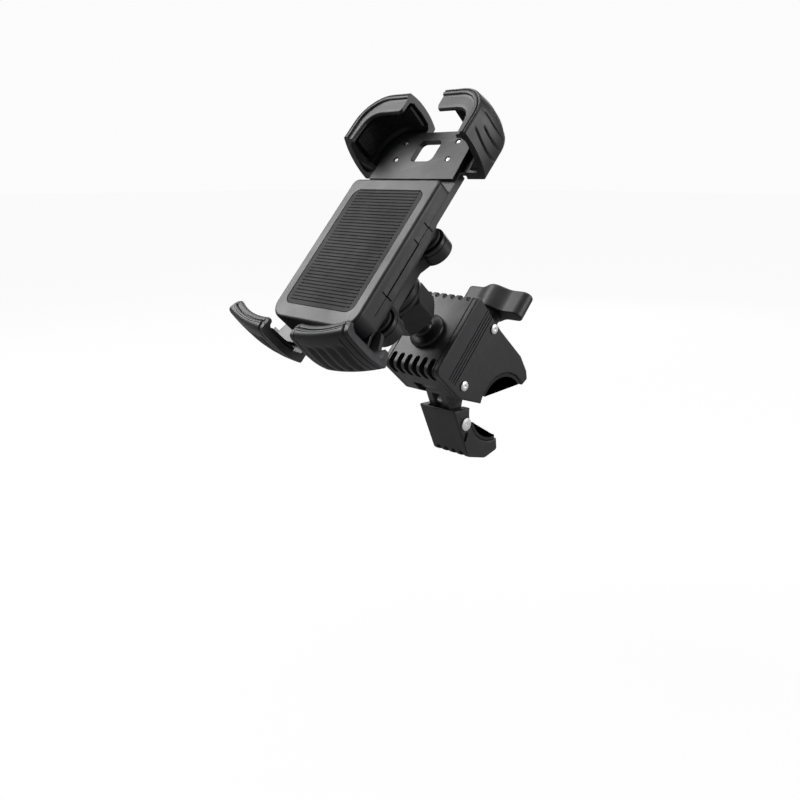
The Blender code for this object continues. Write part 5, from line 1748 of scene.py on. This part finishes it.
@dataclass
class LowerClaws(Claw):
    """The two scoops under the phone."""

    line: float = -53.6
    plate: float = 3.2
    sweep_radius: float = 100.0
    sweep_centre: float = 8.0
    lip: float = 6.4
    cradle_bottom: float = -39.0
    band: float = 2.8
    valleys: int = 4
    valley_pitch: float = 6.2

    def scoop_section(self, lip: float, panel: float) -> Section:
        """Section of a lower claw: a band round a raised panel that rolls over into the wall.

        Args:
            lip: Reach of the lip over the phone.
            panel: 1 where the panel stands proud of the band, 0 at the claw's ends.

        Returns:
            Its points.
        """
        top, back = self.front, self.back
        edge = [(-lip, top - 2.6, 0.0), (-lip + 0.15, top - 1.9, 0.0),
                (-lip + 0.6, top - 1.45, 0.0), (-lip + 1.3, top - 1.2, 0.0)]
        flat = [(-lip + 2.5, top - 0.95, 0.0), (-lip + 2.7, top - 1.1, 0.6),
                (-lip + 3.1, top - 1.1, 0.6), (-lip + 3.3, top - 0.75, 0.0),
                (-lip + 3.6, top - 0.65, -0.35), (-lip + 4.2, top - 0.6, -0.5),
                (-lip + 4.6, top - 0.6, -0.55), (-lip + 4.75, top - 0.6, -0.25),
                (-lip + 4.95, top - 0.6, -0.55), (-1.2, top - 0.62, -0.6),
                (-0.5, top - 0.7, -0.5), (0.1, top - 0.95, -0.45), (0.6, top - 1.4, -0.4),
                (1.0, top - 2.05, -0.3), (1.25, top - 2.8, -0.2)]
        ring = [(outward, height, Face.PLAIN) for outward, height, _ in edge]
        ring += [(outward, height - drop * panel, Face.LIP) for outward, height, drop in flat]
        high, low = top - 3.6, back + 1.2
        middle = top - 0.52 * (top - back)
        for step in range(self.crown_steps + 1):
            height = high + (low - high) * step / self.crown_steps
            if height > middle:
                outward = self.bulge - 0.8 * ((height - middle) / (high - middle)) ** 2
            else:
                reach = (middle - height) / (middle - low)
                outward = 0.2 + (self.bulge - 0.2) * (1.0 - reach ** 2.2)
            ring.append((outward, height, Face.WALL))
        return ring + self.inside(back, lip, 9.0, self.plate)

    def path(self, start: float, end: float) -> list[Station]:
        """Line of the right claw, on a wide arc that rises towards its outer end."""
        centre = Vector((self.sweep_centre, self.line + self.sweep_radius))
        first = math.asin((start - centre.x) / self.sweep_radius)
        last = math.asin((end - centre.x) / self.sweep_radius)
        length = (last - first) * self.sweep_radius
        count = int(length / self.spacing)
        stations = []
        for step in range(count + 1):
            turn = first + (last - first) * step / count
            normal = Vector((math.sin(turn), -math.cos(turn)))
            stations.append(Station(centre + normal * self.sweep_radius, normal,
                                    length * step / count, step / count))
        return stations

    def claw(self) -> bpy.types.Object:
        """Scoop with a concave lip and broad ribs, and its floor plate."""
        stations = self.path(self.inner_end - 2.0, self.side_line + 2.0)
        length = stations[-1].run
        depth = self.front - self.back

        def section(share: float) -> Section:
            """Section with a lip that is widest at its ends, with rounded corners."""
            edge = min(share, 1.0 - share) * length
            corner = max(0.0, 3.0 - edge)
            lip = self.lip + 1.4 * (2.0 * share - 1.0) ** 2 - corner * corner / 4.5
            return self.scoop_section(lip, smooth(edge, self.band - 0.4, self.band + 0.4))

        def relief(run: float, height: float, face: Face) -> float:
            """Deep valleys from front to back, and lines round both ends."""
            ends = self.groove(run, self.band, 0.5) + self.groove(run, length - self.band, 0.5)
            if face is Face.LIP:
                return 0.7 * ends
            level = (self.front - height) / depth
            fade = smooth(level, 0.20, 0.36) * (1.0 - smooth(level, 0.88, 0.97))
            sway = math.sin(level * math.pi * 1.5)
            total = 0.8 * self.groove(run, length - self.band - 3.6, 0.45)
            for index in range(self.valleys):
                centre = self.band + 4.4 + self.valley_pitch * index + sway
                total += 1.7 * fade * self.groove(run, centre, 2.7)
            return min(1.9, total + 0.8 * ends)

        scoop = self.sweep(stations, section, relief)
        low = self.cradle_bottom + 10.0
        floor = rounded([(self.inner_end - 1.5, self.line + 5.0),
                         (self.side_line - 4.0, self.line + 11.0),
                         (self.side_line - 10.0, low), (self.inner_end - 1.5, low)],
                        [0.0, 2.0, 3.0, 2.0])
        plate = prism(Axis.Z, floor, self.back + 0.4, self.back + self.plate - 0.4, 0.3, 0.3)
        return gathered(scoop, plate)

    def build(self) -> None:
        """Build and dress both lower claws."""
        lining = self.lining(self.path(self.inner_end, self.side_line))
        self.on_both_sides("cradle", (self.claw(), "scoop_claw", Coat.CLAW, "lower_claw"),
                           (lining, "scoop_lining", Coat.RUBBER, "lower_claw_pad"))


# ---------------------------------------------------------------- fasteners

@dataclass
class Fasteners(Part):
    """Small screws, one shape for each kind, placed on the CAD screws."""

    socket_depth: float = 0.9

    def screw(self, shank: float, head: float, thick: float, length: float) -> bpy.types.Object:
        """Screw along Z whose head starts at 0 and faces down, with a hexagon socket.

        Args:
            shank: Radius of the shank.
            head: Radius of the head.
            thick: Height of the head.
            length: Whole length.

        Returns:
            The screw.
        """
        rim = 0.3
        profile = [(0.0, 0.0), (head - rim, 0.0), (head - 0.09, 0.09), (head, rim),
                   (head, thick), (shank, thick), (shank, length - 0.5), (shank - 0.4, length),
                   (0.0, length)]
        solid = lathe(Axis.Z, (0.0, 0.0), profile, 24)
        socket = prism(Axis.Z, arc((0.0, 0.0), head * 0.5, *HEXAGON), -1.0,
                       min(self.socket_depth, thick - 0.4))
        return cut(solid, socket)

    def family(self, name: str, body: str, nodes: list[str], head: float, shank: float,
               thick: float, upward: bool = False) -> None:
        """Place one kind of screw on its CAD nodes.

        Args:
            name: Name of the piece.
            body: Body that it rides on.
            nodes: The CAD screws that it stands for.
            head: Radius of the head.
            shank: Radius of the shank.
            thick: Height of the head.
            upward: Whether the heads face the phone.
        """
        extents = [self.bench.frame.extent(node) for node in nodes]
        length = extents[0][1].z - extents[0][0].z
        piece = self.screw(shank, head, thick, length)
        if upward:
            piece.data.transform(Matrix.Rotation(math.pi, 4, "X"))
        spots = [((low.x + high.x) / 2, (low.y + high.y) / 2, high.z if upward else low.z)
                 for low, high in extents]
        made = self.bench.repeated(self.bench.repeat.scatter, spots, Coat.STEEL, piece)
        self.bench.finish(made, name, body, Coat.STEEL, *nodes)

    def build(self) -> None:
        """Build and dress every small screw."""
        small = (2.8, 1.4, 1.6)
        for name, body, node, count, sizes, upward in (
                ("socket_screws", "cradle", "socket_screw", 2, small, True),
                ("damper_screws", "cradle", "damper_screw", 4, (3.5, 1.7, 1.6), False),
                ("cover_screws", "cradle", "cover_screw", 2, small, False),
                ("scoop_screws", "cradle", "lower_claw_screw", 4, small, False),
                ("hook_screws", "upper_jaw", "upper_claw_screw", 4, small, False)):
            nodes = [f"{node}_{number}" for number in range(1, count + 1)]
            self.family(name, body, nodes, *sizes, upward)


# ---------------------------------------------------------------- studio

@dataclass(frozen=True)
class Softbox:
    """An area light: where it stands from the mount's middle, its size and its power."""

    direction: tuple[float, float, float]
    distance: float
    size: float
    power: float


@dataclass
class Studio:
    """Pale floor, soft lights and the camera."""

    middle: tuple[float, float, float] = (0.0, -0.06, 0.06)
    drop: float = 0.10
    lens: float = 38.25
    sensor: float = 36.0
    camera: tuple[float, float, float] = (0.32730, -0.38704, 0.13528)
    toward: tuple[float, float, float] = (-0.68913, 0.67762, -0.25676)
    surround: float = 0.16
    overhead: float = 1.3
    bounce: float = 0.25
    paper: float = 0.97
    shade: float = 0.08
    floor_greys: tuple[float, float] = (0.54, 0.57)
    reach: float = 12.0
    sun: tuple[float, float, float] = (-0.15, 0.1, 1.0)
    sun_angle: float = 50.0
    lights: tuple[Softbox, ...] = (
        Softbox((-0.69, -0.32, 0.65), 1.1, 0.70, 15.0),
        Softbox((-0.55, 0.80, 0.30), 1.4, 0.8, 6.0),
        Softbox((0.75, 0.50, 0.30), 1.3, 0.7, 13.0),
    )

    def floor(self) -> None:
        """Large plane with a faint unevenness."""
        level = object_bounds()[0][2] - self.drop
        mesh = bpy.data.meshes.new("floor")
        reach = self.reach
        mesh.from_pydata([(-reach, -reach, level), (reach, -reach, level),
                          (reach, reach, level), (-reach, reach, level)], [], [(0, 1, 2, 3)])
        plane = linked(mesh, "floor")
        material = bpy.data.materials.new("pale_floor")
        material.use_nodes = True
        tree = material.node_tree
        tree.nodes.remove(tree.nodes["Principled BSDF"])
        place = wired(tree, "ShaderNodeTexCoord", {})
        noise = wired(tree, "ShaderNodeTexNoise", {"Scale": 1.5, "Vector": place.outputs["Object"]})
        ramp = wired(tree, "ShaderNodeValToRGB", {"Fac": noise.outputs["Fac"]})
        for element, grey in zip(ramp.color_ramp.elements, self.floor_greys):
            element.color = (grey, grey, grey, 1.0)
        shaded = wired(tree, "ShaderNodeBsdfDiffuse", {"Color": ramp.outputs["Color"]})
        white = wired(tree, "ShaderNodeEmission",
                      {"Strength": self.paper / (1.0 - self.shade / 2.0)})
        seen = wired(tree, "ShaderNodeMixShader", {"Fac": self.shade, 1: white.outputs["Emission"],
                                                   2: shaded.outputs["BSDF"]})
        bounce = wired(tree, "ShaderNodeBsdfDiffuse",
                       {"Color": (self.bounce, self.bounce, self.bounce, 1.0)})
        path = wired(tree, "ShaderNodeLightPath", {})
        mix = wired(tree, "ShaderNodeMixShader",
                    {"Fac": path.outputs["Is Camera Ray"], 1: bounce.outputs["BSDF"],
                     2: seen.outputs["Shader"]})
        tree.links.new(mix.outputs["Shader"], tree.nodes["Material Output"].inputs["Surface"])
        mesh.materials.append(material)
        plane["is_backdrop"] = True

    def light(self) -> None:
        """Soft lights and a pale surround."""
        middle = Vector(self.middle)
        for number, box in enumerate(self.lights, 1):
            lamp = bpy.data.lights.new(f"softbox_{number}", "AREA")
            lamp.shape = "SQUARE"
            lamp.size = box.size
            lamp.energy = box.power
            item = bpy.data.objects.new(f"softbox_{number}", lamp)
            bpy.context.collection.objects.link(item)
            way = Vector(box.direction).normalized()
            item.location = middle + way * box.distance
            item.rotation_euler = way.to_track_quat("Z", "Y").to_euler()
        world = bpy.data.worlds.new("surround")
        world.use_nodes = True
        tree = world.node_tree
        white = (1.0, 1.0, 1.0, 1.0)
        sky = tree.nodes["Background"]
        sky.inputs["Color"].default_value = white
        sky.inputs["Strength"].default_value = self.surround
        seen = wired(tree, "ShaderNodeBackground", {"Color": white, "Strength": self.paper})
        path = wired(tree, "ShaderNodeLightPath", {})
        mix = wired(tree, "ShaderNodeMixShader",
                    {"Fac": path.outputs["Is Camera Ray"], 1: sky.outputs["Background"],
                     2: seen.outputs["Background"]})
        tree.links.new(mix.outputs["Shader"], tree.nodes["World Output"].inputs["Surface"])
        bpy.context.scene.world = world
        lamp = bpy.data.lights.new("overhead", "SUN")
        lamp.energy = self.overhead
        lamp.angle = math.radians(self.sun_angle)
        item = bpy.data.objects.new("overhead", lamp)
        bpy.context.collection.objects.link(item)
        item.rotation_euler = Vector(self.sun).to_track_quat("Z", "Y").to_euler()

    def shoot(self) -> None:
        """Camera at the viewing angle, in focus everywhere."""
        data = bpy.data.cameras.new("camera")
        data.lens = self.lens
        data.sensor_width = self.sensor
        data.clip_start = 0.01
        item = bpy.data.objects.new("camera", data)
        bpy.context.collection.objects.link(item)
        item.location = self.camera
        item.rotation_euler = Vector(self.toward).to_track_quat("-Z", "Y").to_euler()
        bpy.context.scene.camera = item
        bpy.context.scene.view_settings.view_transform = "Standard"

    def build(self) -> None:
        """Set up the studio."""
        self.floor()
        self.light()
        self.shoot()


def main() -> None:
    """Build every sub-assembly in order."""
    logging.basicConfig(level=logging.INFO, format="%(message)s")
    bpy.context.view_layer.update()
    bench = Bench(frame)
    levels = Levels.read(bench.frame)
    HandlebarClamp(bench, levels).build()
    LowerJaw(bench, levels).build()
    ClosingScrew(bench, levels).build()
    BallJoint(bench, levels).build()
    plate = DamperPlate(bench, levels)
    plate.build()
    Cradle(bench, levels).build(plate.places())
    UpperClaws(bench, levels).build()
    LowerClaws(bench, levels).build()
    Fasteners(bench, levels).build()
    Studio().build()


if __name__ == "__main__":
    main()
